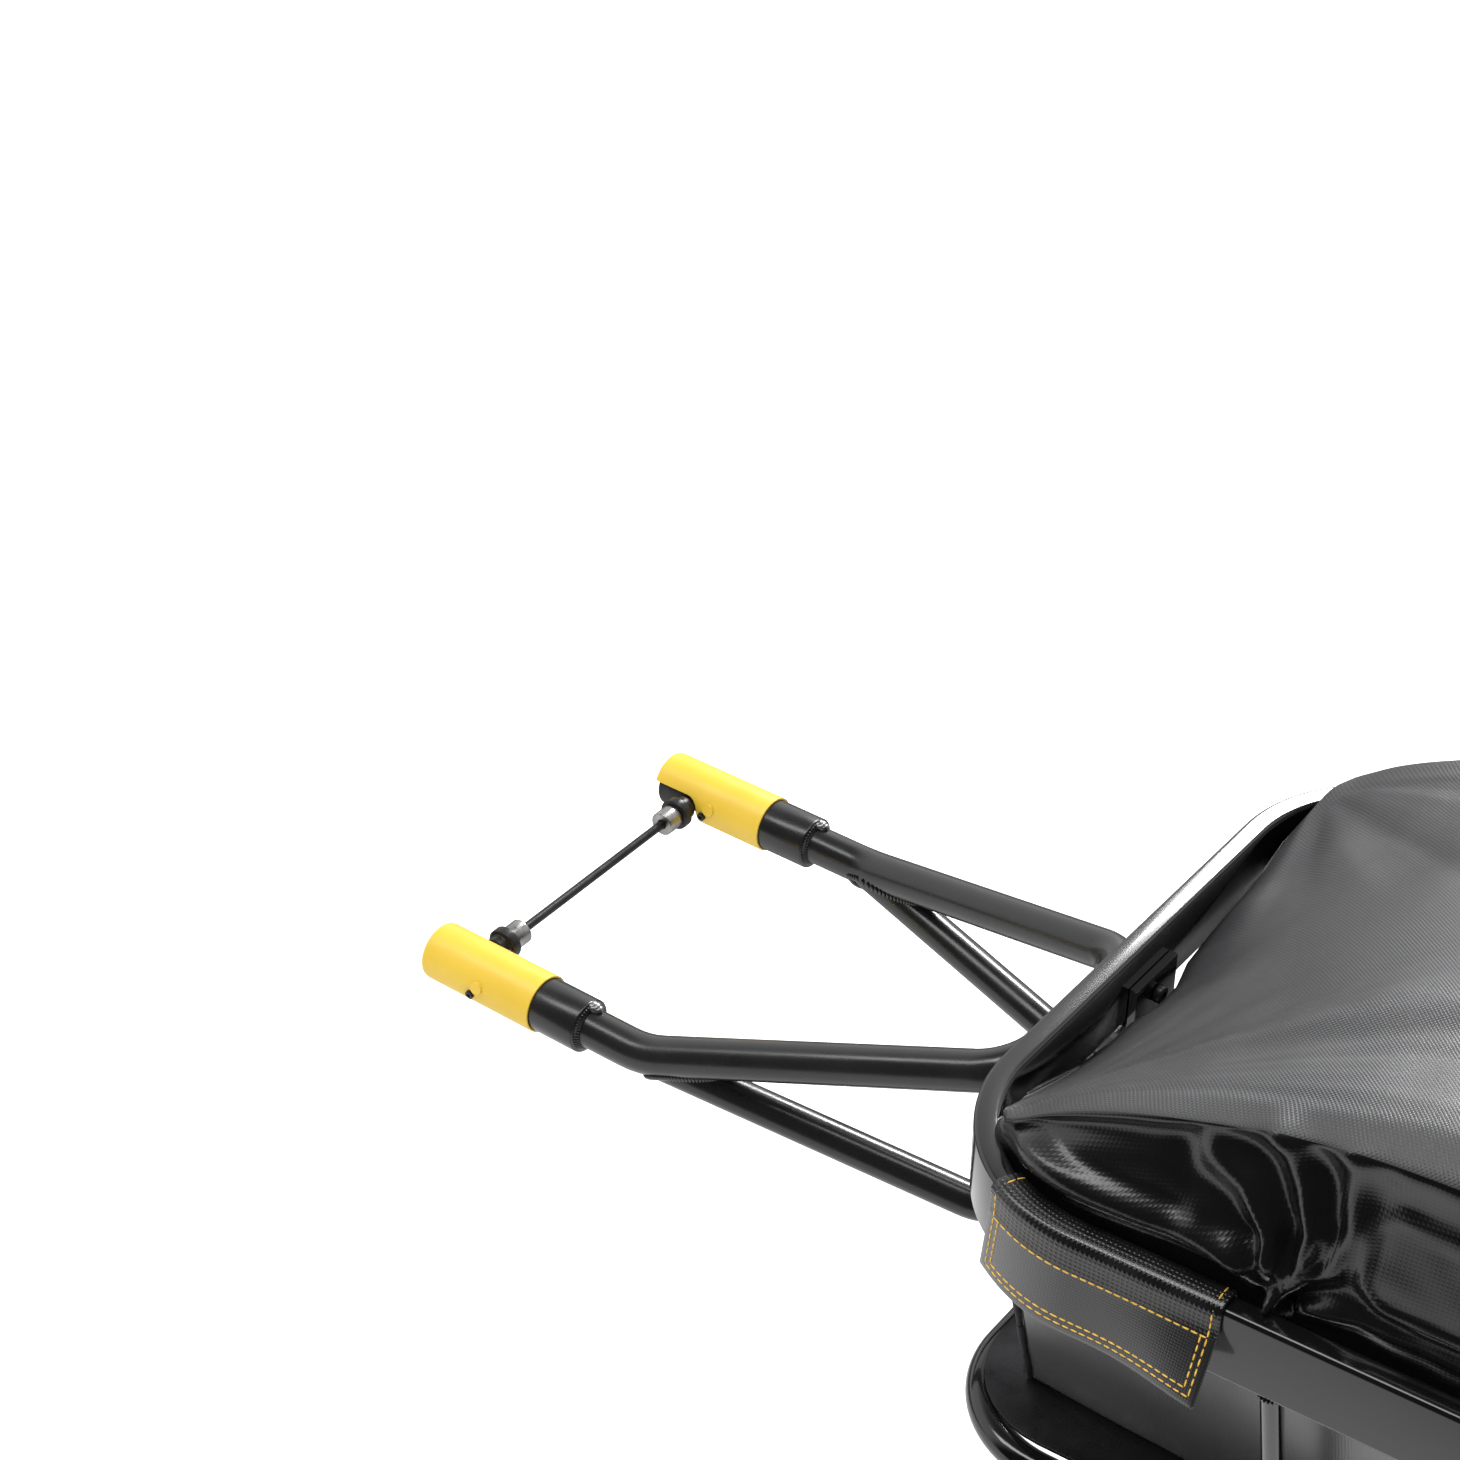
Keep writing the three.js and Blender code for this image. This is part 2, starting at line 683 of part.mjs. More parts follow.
function lowerRailHalfWidth(x) {
  const share = (x - lowerRailFrontX) / (lowerRailWaistX - lowerRailFrontX);
  return THREE.MathUtils.lerp(lowerRailFrontHalfWidth, lowerRailWaistHalfWidth, share);
}

// The rim's plan, drawn in by an inset from its outer edge
function rimCorners(inset) {
  const slope = (rimFrontHalfWidth - rimRearHalfWidth) / (rimRearX - rimFrontX);
  const slant = inset * Math.hypot(1, slope);
  const front = rimFrontX + inset;
  const rear = rimRearX - inset;
  const frontY = rimHalfWidth(front) - slant;
  const rearY = rimHalfWidth(rear) - slant;
  return [
    new THREE.Vector2(front, -frontY), new THREE.Vector2(rear, -rearY),
    new THREE.Vector2(rear, rearY), new THREE.Vector2(front, frontY),
  ];
}

function rimOutline(inset) {
  const front = rimFrontRadius - inset;
  const rear = rimRearRadius - inset;
  return roundedOutline(rimCorners(inset), [front, rear, rear, front]);
}

function lowerRailPoints() {
  const endY = dropoutInnerY + dropoutThickness / 2;
  const right = [
    at(dropoutFrontX - fitGap, endY, lowerStayEndZ),
    at(dropoutFrontX - fitGap - stayEndLength, endY, lowerStayEndZ),
    at(lowerRailWaistX, lowerRailWaistHalfWidth, lowerRailZ),
    at(lowerRailFrontX, lowerRailFrontHalfWidth, lowerRailZ),
  ];
  return [...mirrorY(right), ...right.reverse()];
}

const lowerRailRadii = [
  lowerStayBend, lowerRailWaistRadius, lowerRailFrontRadius,
  lowerRailFrontRadius, lowerRailWaistRadius, lowerStayBend,
];

function buildBasket() {
  const shape = new THREE.Shape(rimOutline(0));
  shape.holes.push(new THREE.Path(rimOutline(rimThickness)));
  const rim = new THREE.ExtrudeGeometry(shape, {
    depth: rimHeight - 2 * rimEdge, bevelEnabled: true, bevelSegments: 2,
    bevelSize: rimEdge, bevelThickness: rimEdge, bevelOffset: -rimEdge,
  }).translate(0, 0, rimBottomZ + rimEdge);
  addPiece('rim_rail', cut(rim, boltHole(bracketBoltUpperZ)), black);

  const rail = bentTube(lowerRailPoints(), lowerRailRadii, lowerRailDiameter, lowerRailWall);
  addPiece('lower_rail', cut(rail, boltHole(lowerRailZ)), black);

  const around = bentTube(lowerRailPoints(), lowerRailRadii, lowerRailDiameter + 2 * fitGap, 0);
  const crossEnd = lowerRailHalfWidth(crossTubeX);
  const cross = turned(barProfile(lowerRailRadius, -crossEnd, crossEnd), 'y', tubeSides)
    .translate(crossTubeX, 0, lowerRailZ);
  addPiece('rear_cross_tube', cut(cross, around), black);

  const strutLabels = ['front', 'middle', 'rear'];
  strutShares.forEach((share, i) => {
    const x = strutX(share);
    for (const [side, label] of [[-1, 'left'], [1, 'right']]) {
      addPiece(`strut_${strutLabels[i]}_${label}`, strut(x, side), black);
    }
  });
  addPiece('floor_panel', floorPanel(), black);
}

const strutTopZ = rimBottomZ - fitGap;
const strutBottomZ = lowerRailZ + lowerRailRadius + fitGap;

function strutX(share) {
  return THREE.MathUtils.lerp(rimFrontX, rimRearX, share);
}

function strutHalfSpan(x, z) {
  const top = rimHalfWidth(x) - rimThickness / 2;
  return THREE.MathUtils.mapLinear(z, strutBottomZ, strutTopZ, lowerRailHalfWidth(x), top);
}

// A leaning strut with level ends, between the rim's underside and the lower rail
function strut(x, side) {
  const height = strutTopZ - strutBottomZ;
  const geometry = plate(circlePoints(strutDiameter / 2, tubeSides), height);
  const lean = side * (strutHalfSpan(x, strutTopZ) - strutHalfSpan(x, strutBottomZ)) / height;
  const shear = new THREE.Matrix4().set(1, 0, 0, 0, 0, 1, lean, 0, 0, 0, 1, 0, 0, 0, 0, 1);
  return geometry.applyMatrix4(shear).translate(x, side * strutHalfSpan(x, strutBottomZ), strutBottomZ);
}

// The floor lies on the front of the rail and on the cross tube, notched round the bracket
function floorPanel() {
  const clear = strutDiameter / 2 + fitGap;
  const frontY = lowerRailHalfWidth(lowerRailFrontX) - clear;
  const rearY = lowerRailHalfWidth(crossTubeX) - clear;
  const notchX = bracketRearX + fitGap;
  const notchY = bracketWidth / 2 + fitGap;
  const corner = lowerRailFrontRadius - clear;
  const outline = roundedOutline([
    new THREE.Vector2(lowerRailFrontX, -frontY), new THREE.Vector2(crossTubeX, -rearY),
    new THREE.Vector2(crossTubeX, rearY), new THREE.Vector2(lowerRailFrontX, frontY),
    new THREE.Vector2(lowerRailFrontX, notchY), new THREE.Vector2(notchX, notchY),
    new THREE.Vector2(notchX, -notchY), new THREE.Vector2(lowerRailFrontX, -notchY),
  ], [corner, 0, 0, corner, 0, 0, 0, 0]);
  const holes = [];
  const middle = (notchX + crossTubeX) / 2;
  for (let row = 0; row < floorSlotRows; row += 1) {
    for (let column = 0; column < floorSlotColumns; column += 1) {
      const x = middle + (row - (floorSlotRows - 1) / 2) * floorSlotPitchX;
      const y = (column - (floorSlotColumns - 1) / 2) * floorSlotPitchY;
      holes.push(slotOutline(x, y));
    }
  }
  return plate(outline, floorThickness, holes).translate(0, 0, floorLowZ);
}

function slotOutline(x, y) {
  const halfX = floorSlotLength / 2;
  const halfY = floorSlotWidth / 2;
  return [[-halfX, 0], [-halfX + halfY, halfY], [halfX - halfY, halfY],
    [halfX, 0], [halfX - halfY, -halfY], [-halfX + halfY, -halfY],
  ].map(([dx, dy]) => new THREE.Vector2(x + dx, y + dy));
}

// Rear end: dropouts and upper stays

function buildRearEnd() {
  const endY = dropoutInnerY + dropoutThickness / 2;
  const slot = axleDiameter / 2 + fitGap;
  const arc = [];
  const arcCount = 6;
  for (let i = 0; i <= arcCount; i += 1) {
    const angle = (Math.PI * i) / arcCount;
    arc.push([wheelX + slot * Math.cos(angle), wheelZ + slot * Math.sin(angle)]);
  }
  const outline = [
    [dropoutFrontX, dropoutTopZ], [dropoutFrontX, dropoutBottomZ + dropoutChamfer],
    [dropoutFrontX + dropoutChamfer, dropoutBottomZ], [wheelX - slot, dropoutBottomZ],
    ...arc.reverse(),
    [wheelX + slot, dropoutBottomZ], [dropoutRearX - dropoutChamfer, dropoutBottomZ],
    [dropoutRearX, dropoutBottomZ + dropoutChamfer], [dropoutRearX, dropoutTopZ - dropoutChamfer],
    [dropoutFrontX + dropoutTopLength, dropoutTopZ],
  ].map(([x, z]) => new THREE.Vector2(x, z));
  for (const [side, label] of [[-1, 'left'], [1, 'right']]) {
    const solid = plate(outline, dropoutThickness).rotateX(Math.PI / 2)
      .translate(0, side * endY + dropoutThickness / 2, 0);
    addPiece(`dropout_${label}`, solid, black);
    const startX = rimRearX + fitGap;
    const height = (rimTopZ + rimBottomZ) / 2;
    const points = [
      at(startX, side * upperStayStartHalfSpan, height),
      at(startX + upperStayRunX, side * upperStayStartHalfSpan, height),
      at(upperStayEndX, side * endY, dropoutTopZ + fitGap + upperStayDrop),
      at(upperStayEndX, side * endY, dropoutTopZ + fitGap),
    ];
    addPiece(`upper_stay_${label}`,
      bentTube(points, [upperStayBend, upperStayBend], upperStayDiameter, upperStayWall), black);
  }
}

// Wheel

const wheelSegments = 36;
const hubSegments = 18;
const tyreRadius = beadSeatRadius + tyreHeight;

function wheelPlace(geometry) {
  return geometry.translate(wheelX, 0, wheelZ);
}

function arcProfile(centreR, radiusR, halfWidth, from, to, count) {
  const points = [];
  for (let i = 0; i <= count; i += 1) {
    const angle = THREE.MathUtils.lerp(from, to, i / count);
    points.push([centreR + radiusR * Math.cos(angle), halfWidth * Math.sin(angle)]);
  }
  return points;
}

function tyreProfile() {
  const beadY = wheelRimHalfWidth - wheelRimWall - fitGap;
  const beadR = beadSeatRadius + fitGap;
  const centreR = (tyreRadius + beadSeatRadius + wheelRimLip) / 2;
  const crown = tyreRadius - centreR;
  const spread = THREE.MathUtils.degToRad(142);
  const outer = arcProfile(centreR, crown, tyreHalfWidth, -spread, spread, 9);
  const inner = arcProfile(centreR, crown - tyreWall, tyreHalfWidth - tyreWall, spread, -spread, 5);
  return [
    [beadR, -beadY], [beadSeatRadius + wheelRimLip, -beadY], ...outer,
    [beadSeatRadius + wheelRimLip, beadY], [beadR, beadY], [beadR, beadY - tyreWall],
    ...inner, [beadR, -beadY + tyreWall], [beadR, -beadY],
  ];
}

function buildWheel() {
  addPiece('tyre', wheelPlace(turned(tyreProfile(), 'y', wheelSegments)), rubber);

  const lipR = beadSeatRadius + wheelRimLip;
  const innerR = beadSeatRadius - wheelRimDepth;
  const shelf = wheelRimHalfWidth - wheelRimWall;
  const wellR = beadSeatRadius - wheelRimWall;
  const half = [
    [lipR, wheelRimHalfWidth], [lipR, shelf], [beadSeatRadius, shelf], [wellR, shelf / 2],
  ];
  const profile = [
    ...half, ...half.map(([r, y]) => [r, -y]).reverse(),
    [beadSeatRadius - wheelRimLip, -wheelRimHalfWidth], [innerR, -wheelRimHalfWidth / 2],
    [innerR, wheelRimHalfWidth / 2], [beadSeatRadius - wheelRimLip, wheelRimHalfWidth],
    [lipR, wheelRimHalfWidth],
  ].reverse();
  addPiece('wheel_rim', wheelPlace(turned(profile, 'y', wheelSegments)), darkSteel);

  addPiece('spoked_hub', wheelPlace(spokedHub(innerR * Math.cos(Math.PI / wheelSegments) - fitGap)), darkSteel);
  for (const [side, label] of [[-1, 'left'], [1, 'right']]) {
    const outerY = hubHalfLength - fitGap;
    const ring = ringProfile(axleDiameter / 2 + fitGap, bearingRadius, outerY - bearingWidth, outerY);
    const bearing = turned(ring, 'y', hubSegments);
    if (side < 0) {
      bearing.rotateZ(Math.PI);
    }
    addPiece(`bearing_${label}`, wheelPlace(bearing), steel);
  }

  const axleR = axleDiameter / 2;
  const spacerR = axleSpacerDiameter / 2;
  const spacerY = hubHalfLength + fitGap;
  const shoulderY = dropoutInnerY - fitGap;
  const tipY = dropoutInnerY + dropoutThickness - fitGap;
  const bore = axleBore / 2;
  const axle = turned([
    [bore, -tipY], [axleR, -tipY], [axleR, -shoulderY], [spacerR, -shoulderY], [spacerR, -spacerY],
    [axleR, -spacerY], [axleR, spacerY], [spacerR, spacerY], [spacerR, shoulderY], [axleR, shoulderY],
    [axleR, tipY], [bore, tipY], [bore, -tipY],
  ], 'y', roundSegments);
  addPiece('wheel_axle', wheelPlace(axle), steel);
}

function spokedHub(rimReach) {
  const boreR = bearingRadius + fitGap;
  const flangeIn = hubFlangeY - hubFlangeThickness;
  let solid = toSolid(turned([
    [boreR, -hubHalfLength], [hubRadius, -hubHalfLength], [hubRadius, -hubFlangeY],
    [hubFlangeRadius, -hubFlangeY], [hubFlangeRadius, -flangeIn], [hubRadius, -flangeIn],
    [hubRadius, flangeIn], [hubFlangeRadius, flangeIn], [hubFlangeRadius, hubFlangeY],
    [hubRadius, hubFlangeY], [hubRadius, hubHalfLength], [boreR, hubHalfLength],
    [boreR, -hubHalfLength],
  ], 'y', hubSegments));
  const flangeMiddle = hubFlangeY - hubFlangeThickness / 2;
  const holeR = hubFlangeRadius - hubFlangeThickness;
  for (let i = 0; i < spokeCount; i += 1) {
    const side = i % 2 ? 1 : -1;
    const rimAngle = (2 * Math.PI * i) / spokeCount;
    const lean = i % 4 < 2 ? spokeLacing : -spokeLacing;
    const from = at(holeR * Math.cos(rimAngle + lean), side * flangeMiddle, holeR * Math.sin(rimAngle + lean));
    const to = at(rimReach * Math.cos(rimAngle), side * spokeRimOffset, rimReach * Math.sin(rimAngle));
    solid = solid.add(toSolid(straightRod(from, to, spokeDiameter / 2, 4)));
  }
  return fromSolid(solid);
}

function straightRod(from, to, radius, sides) {
  const span = to.clone().sub(from);
  const middle = from.clone().add(to).multiplyScalar(0.5);
  const geometry = rod(radius, span.length(), sides);
  geometry.applyQuaternion(new THREE.Quaternion().setFromUnitVectors(at(0, 1, 0), span.clone().normalize()));
  return geometry.translate(middle.x, middle.y, middle.z);
}

// Quick release of the trailer wheel: cam on the left, nut on the right

const plateOuterY = dropoutInnerY + dropoutThickness;
const camInnerY = plateOuterY + fitGap;
const camOuterY = camInnerY + camLength;
const leverPivotY = camOuterY + fitGap + leverBossRadius;

function buildQuickRelease() {
  const skewerR = skewerDiameter / 2;
  const nutOuterY = camInnerY + qrNutLength;
  addPiece('qr_skewer', wheelPlace(turned([
    [0, -camOuterY], [camDiameter / 2, -camOuterY], [camDiameter / 2, -camInnerY],
    [skewerR, -camInnerY], [skewerR, nutOuterY], [0, nutOuterY],
  ], 'y', roundSegments)), steel);
  const nut = turned(ringProfile(skewerR + fitGap, qrNutDiameter / 2, camInnerY, nutOuterY), 'y', 12);
  addPiece('qr_nut', wheelPlace(nut), steel);

  const boss = new THREE.Shape();
  boss.absarc(0, 0, leverBossRadius, 0, 2 * Math.PI, false);
  const bossSolid = new THREE.ExtrudeGeometry(boss, { depth: leverHeight, bevelEnabled: false, curveSegments: 8 });
  const handle = block(
    at(0, -leverBossRadius, 0), at(leverLength, -leverBossRadius + leverThickness, leverHeight),
  );
  const lever = join(bossSolid, handle).translate(wheelX, -leverPivotY, wheelZ - leverHeight / 2);
  addPiece('qr_lever', lever, steel);
}

// Mudguard, its stays and the reflector

const guardRadius = tyreRadius + guardClearance;

function guardPoint(radius, angle, y) {
  return at(wheelX + radius * Math.cos(angle), y, wheelZ + radius * Math.sin(angle));
}

const guardSteps = Math.ceil((guardFrontAngle - guardRearAngle) / arcStep);

// The angle of one of the guard's own steps, nearest to a share of its sweep
function guardAngle(share) {
  return THREE.MathUtils.lerp(guardRearAngle, guardFrontAngle, Math.round(share * guardSteps) / guardSteps);
}

function buildMudguard() {
  const path = new BentPath([at(0, 0, 0), at(wheelX, 0, 0)], []);
  path.stations = [];
  for (let i = 0; i <= guardSteps; i += 1) {
    const angle = guardAngle(i / guardSteps);
    path.addStation(guardPoint(guardRadius, angle, 0), at(-Math.sin(angle), 0, Math.cos(angle)));
  }
  const outline = [];
  const count = 6;
  for (let i = 0; i <= count; i += 1) {
    const y = guardWidth * (i / count - 0.5);
    const crown = guardCrown * (1 - (2 * y / guardWidth) ** 2) - guardCrown;
    outline.push(new THREE.Vector2(y, crown + guardThickness));
  }
  for (let i = count; i >= 0; i -= 1) {
    const y = guardWidth * (i / count - 0.5);
    const crown = guardCrown * (1 - (2 * y / guardWidth) ** 2) - guardCrown;
    outline.push(new THREE.Vector2(y, crown));
  }
  addPiece('mudguard', sweep(path, outline), plastic);

  const tabZ = lowerRailZ;
  const tabRise = Math.asin((tabZ + guardTabHeight / 2 - wheelZ) / (guardRadius + guardThickness));
  const tabRearX = wheelX - (guardRadius + guardThickness) * Math.cos(tabRise) - fitGap;
  const tabFrontX = crossTubeX + lowerRailRadius + fitGap;
  addPiece('mudguard_bracket', block(
    at(tabFrontX, -guardTabWidth / 2, tabZ - guardTabHeight / 2),
    at(tabRearX - guardThickness, guardTabWidth / 2, tabZ + guardTabHeight / 2),
  ), black);

  for (const [side, label] of [[-1, 'left'], [1, 'right']]) {
    const edge = guardPoint(guardRadius - guardCrown + guardThickness / 2, guardStayAngle,
      side * (guardWidth / 2 + fitGap + guardStayDiameter / 2));
    const foot = at(guardStayFootX, side * guardStayFootY, guardStayFootZ);
    addPiece(`mudguard_stay_${label}`, straightRod(foot, edge, guardStayDiameter / 2, 8), steel);
  }

  const outerRadius = guardRadius + guardThickness;
  const highRise = outerRadius * Math.sin(guardAngle(reflectorShare));
  const seatX = wheelX + Math.sqrt(outerRadius ** 2 - highRise ** 2) + fitGap;
  const backX = seatX + reflectorDepth;
  const lowZ = wheelZ + highRise;
  const highZ = lowZ + reflectorHeight;
  const halfWidth = reflectorWidth / 2;
  addPiece('reflector_housing', block(at(seatX, -halfWidth, lowZ), at(backX, halfWidth, highZ)), plastic);
  addPiece('reflector_lens', block(
    at(backX + fitGap, -halfWidth + lensInset, lowZ + lensInset),
    at(backX + fitGap + lensDepth, halfWidth - lensInset, highZ - lensInset),
  ), red);
}

// Dry bag

// A closed skin over rings with the same number of points
function loft(rings) {
  const total = rings[0].length;
  const index = [];
  for (let i = 0; i + 1 < rings.length; i += 1) {
    for (let k = 0; k < total; k += 1) {
      const low = i * total + k;
      const high = i * total + ((k + 1) % total);
      index.push(low, high, high + total, low, high + total, low + total);
    }
  }
  for (const first of [0, (rings.length - 1) * total]) {
    const flat = rings[first / total].map((point) => new THREE.Vector2(point.y, point.z));
    for (const [a, b, c] of THREE.ShapeUtils.triangulateShape(flat, [])) {
      const corners = first === 0 ? [c, b, a] : [a, b, c];
      index.push(...corners.map((corner) => first + corner));
    }
  }
  const geometry = new THREE.BufferGeometry().setFromPoints(rings.flat());
  geometry.setIndex(index);
  return geometry;
}

// Half the bag's width at a place along it, less where its corners are round
function bagHalfWidth(x) {
  const full = rimHalfWidth(x) - rimThickness - bagSideGap;
  const cornerCut = (radius, ahead) => {
    const arm = Math.max(0, radius - ahead);
    return radius - Math.sqrt(radius ** 2 - arm ** 2);
  };
  return full - cornerCut(bagFrontRadius, x - bagFrontX) - cornerCut(bagRearRadius, bagRearX - x);
}

// Below the rim the bag narrows to clear the rearmost struts, which stand closest together,
// and its front leans back from the yoke, which swings under it
function bagRing([x, foldZ, middleZ]) {
  const bottom = floorTopZ + bagBottomGap;
  const half = bagHalfWidth(x);
  const strutClear = strutDiameter / 2 + bagStrutGap;
  const narrowX = strutX(Math.max(...strutShares));
  const bellyZ = rimBottomZ - bagBellyDrop;
  const sideZ = Math.min(rimTopZ, foldZ - bagSideStep);
  const foldY = Math.min(bagFoldHalfWidth, half - bagFoldInset);
  const cornerX = bagFrontX + bagFrontRadius;
  const lowX = x < cornerX ? THREE.MathUtils.mapLinear(x, bagFrontX, cornerX, bagFootX, cornerX) : x;
  const right = [
    [Math.min(half, strutHalfSpan(narrowX, bottom) - strutClear), bottom],
    [Math.min(half, strutHalfSpan(narrowX, bellyZ) - strutClear), bellyZ],
    [half, sideZ - bagHipDrop], [half, sideZ],
    [THREE.MathUtils.lerp(half, foldY, bagSeamShare / 2), THREE.MathUtils.lerp(sideZ, foldZ, bagSeamShare)],
    [foldY, foldZ], [foldY * bagCrownWidthShare, THREE.MathUtils.lerp(foldZ, middleZ, bagCrownShare)],
  ];
  const left = right.map(([y, z]) => [-y, z]).reverse();
  return [...right, [0, middleZ], ...left].map(([y, z]) => at(z > bellyZ ? x : lowX, y, z));
}

// Each station's place, and the heights of its fold and its middle
function bagStations() {
  const { lerp } = THREE.MathUtils;
  return bagStationShares.map(([along, fold, middle]) => [
    lerp(bagFrontX, bagRearX, along),
    lerp(bagFrontZ, bagTopZ, fold),
    lerp(bagFrontZ, bagTopZ, middle),
  ]);
}

function buildBag() {
  const stations = bagStations();
  addPiece('bag_body', loft(stations.map(bagRing)), matteCloth);

  const next = stations.findIndex(([x]) => x > rollX);
  const [[backX, , backZ], [aheadX, , aheadZ]] = [stations[next - 1], stations[next]];
  const slope = Math.atan2(backZ - aheadZ, aheadX - backX);
  const seatZ = THREE.MathUtils.mapLinear(rollX, backX, aheadX, backZ, aheadZ);
  const rollZ = seatZ + (rollRadius + fitGap) / Math.cos(slope);
  const roll = turned(barProfile(rollRadius, -rollHalfLength, rollHalfLength), 'y', roundSegments);
  addPiece('bag_roll_closure', roll.translate(rollX, 0, rollZ), glossCloth);

  const frontStart = rimFrontX + flapFrontSetback;
  const rearStart = rimRearX - flapRearSetback - flapLength;
  for (const [label, start] of [['front', frontStart], ['rear', rearStart]]) {
    addPiece(`rail_flap_${label}_left`, railFlap(start, -1), glossCloth);
    addPiece(`rail_flap_${label}_right`, railFlap(start, 1), glossCloth);
  }
}

// A flap of bag cloth folded over the rim, which follows the rim's middle line
function railFlap(startX, side) {
  const inset = rimThickness / 2;
  const line = rimOutline(inset).filter((point) => point.y * side > 0);
  line.sort((a, b) => a.x - b.x);
  const endX = startX + flapLength;
  const yAt = (x) => {
    let i = 1;
    while (i < line.length - 1 && line[i].x < x) {
      i += 1;
    }
    const share = (x - line[i - 1].x) / (line[i].x - line[i - 1].x);
    return THREE.MathUtils.lerp(line[i - 1].y, line[i].y, share);
  };
  const stations = [at(startX, yAt(startX), 0)];
  for (const point of line) {
    if (point.x > startX + rimEdge && point.x < endX - rimEdge) {
      stations.push(at(point.x, point.y, 0));
    }
  }
  stations.push(at(endX, yAt(endX), 0));
  if (side > 0) {
    stations.reverse();
  }
  const path = new BentPath([at(startX, 0, 0), at(endX, 0, 0)], []);
  path.stations = [];
  stations.forEach((point, i) => {
    const before = stations[Math.max(0, i - 1)];
    const after = stations[Math.min(stations.length - 1, i + 1)];
    path.addStation(point, after.clone().sub(before));
  });
  const near = inset + flapGap;
  const far = near + flapThickness;
  const top = rimTopZ + flapGap;
  const outline = [
    [rimBottomZ - flapHang, -far], [top, -far], [top + flapThickness, -near], [top + flapThickness, near],
    [top, far], [rimTopZ - flapInnerDrop, far], [rimTopZ - flapInnerDrop, near], [top, near],
    [top, -near], [rimBottomZ - flapHang, -near],
  ].map(([z, y]) => new THREE.Vector2(-z, y));
  return sweep(path, outline);
}

buildHitch(-1, 'left');
buildHitch(1, 'right');
buildHitchAxle();
buildYoke();
buildPivot();
buildBasket();
buildRearEnd();
buildWheel();
buildQuickRelease();
buildMudguard();
buildBag();

export default trailer;
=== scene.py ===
import math

import bmesh
import bpy
from mathutils import Matrix, Vector, noise
from mathutils.bvhtree import BVHTree


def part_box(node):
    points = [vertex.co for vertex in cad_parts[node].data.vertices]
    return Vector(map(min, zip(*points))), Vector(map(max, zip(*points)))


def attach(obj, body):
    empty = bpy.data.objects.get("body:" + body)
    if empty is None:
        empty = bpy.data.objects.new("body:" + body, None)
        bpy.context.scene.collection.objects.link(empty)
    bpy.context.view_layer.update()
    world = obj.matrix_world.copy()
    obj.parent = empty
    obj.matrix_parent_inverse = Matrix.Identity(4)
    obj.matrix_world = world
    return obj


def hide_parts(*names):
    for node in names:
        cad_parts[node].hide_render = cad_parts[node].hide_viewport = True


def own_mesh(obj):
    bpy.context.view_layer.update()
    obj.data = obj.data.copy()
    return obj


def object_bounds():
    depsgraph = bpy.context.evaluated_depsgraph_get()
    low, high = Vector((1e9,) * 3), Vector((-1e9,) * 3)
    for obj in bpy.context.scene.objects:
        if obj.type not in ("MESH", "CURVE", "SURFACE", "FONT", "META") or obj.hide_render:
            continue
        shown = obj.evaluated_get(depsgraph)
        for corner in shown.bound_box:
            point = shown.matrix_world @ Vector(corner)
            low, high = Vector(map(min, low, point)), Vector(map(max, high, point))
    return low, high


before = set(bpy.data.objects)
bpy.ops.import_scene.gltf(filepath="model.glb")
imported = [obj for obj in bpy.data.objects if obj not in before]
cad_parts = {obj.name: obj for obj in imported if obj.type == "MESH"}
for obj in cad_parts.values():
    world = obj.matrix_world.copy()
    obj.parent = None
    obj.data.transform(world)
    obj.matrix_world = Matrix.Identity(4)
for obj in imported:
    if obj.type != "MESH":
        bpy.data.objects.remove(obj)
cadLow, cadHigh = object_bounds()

scene = bpy.context.scene
sides = ((-1, "left"), (1, "right"))


# Camera, light and floor

view = {"azimuth": 37.59, "elevation": 35.01, "lens": 73.97, "sensor": 36, "place": (1.0174, -1.1752, 1.2038)}
# each lamp's place, what it points at, its width and depth, and its power
lamps = {"overheadLamp": ((0.3, 0.1, 2.3), (0.6, 0, 0), (1.7, 0.8), 19),
         "backLamp": ((-0.22, 1.84, 1.4), (0.42, 0.12, 0.15), (0.6, 0.5), 44),
         "sideLamp": ((-0.7, -0.7, 2.1), (0.52, -0.19, 0.16), (0.5, 1.5), 13)}
# around, above, far and near: a range of directions or places, and the strengths at its two ends
backdrop = {"way": (-0.61, 0.79, 0), "light": 0.92, "seen": 1.0, "around": (-0.16, 0.14, 0.015, 0.95),
            "above": (0.6, 0.85, 1.0, 0.12)}
paper = {"size": 30, "colour": (0.9, 0.9, 0.9), "roughness": 0.9, "glow": 0.55,
         "far": (-1.7, -0.8, 0.02, 0.98), "near": (-0.05, 0.35, 1.0, 0.22)}


def addCamera():
    camera = bpy.data.cameras.new("camera")
    camera.lens = view["lens"]
    camera.sensor_width = view["sensor"]
    camera.clip_end = 100
    holder = bpy.data.objects.new("camera", camera)
    holder.location = view["place"]
    holder.rotation_euler = (math.radians(90 - view["elevation"]), 0, math.radians(view["azimuth"]))
    scene.collection.objects.link(holder)
    scene.camera = holder


def addLamp(name, place, target, size, power):
    lamp = bpy.data.lights.new(name, "AREA")
    lamp.shape = "RECTANGLE"
    lamp.size, lamp.size_y = size
    lamp.energy = power
    holder = bpy.data.objects.new(name, lamp)
    holder.location = place
    holder.rotation_euler = (Vector(target) - Vector(place)).to_track_quat("-Z", "Y").to_euler()
    scene.collection.objects.link(holder)


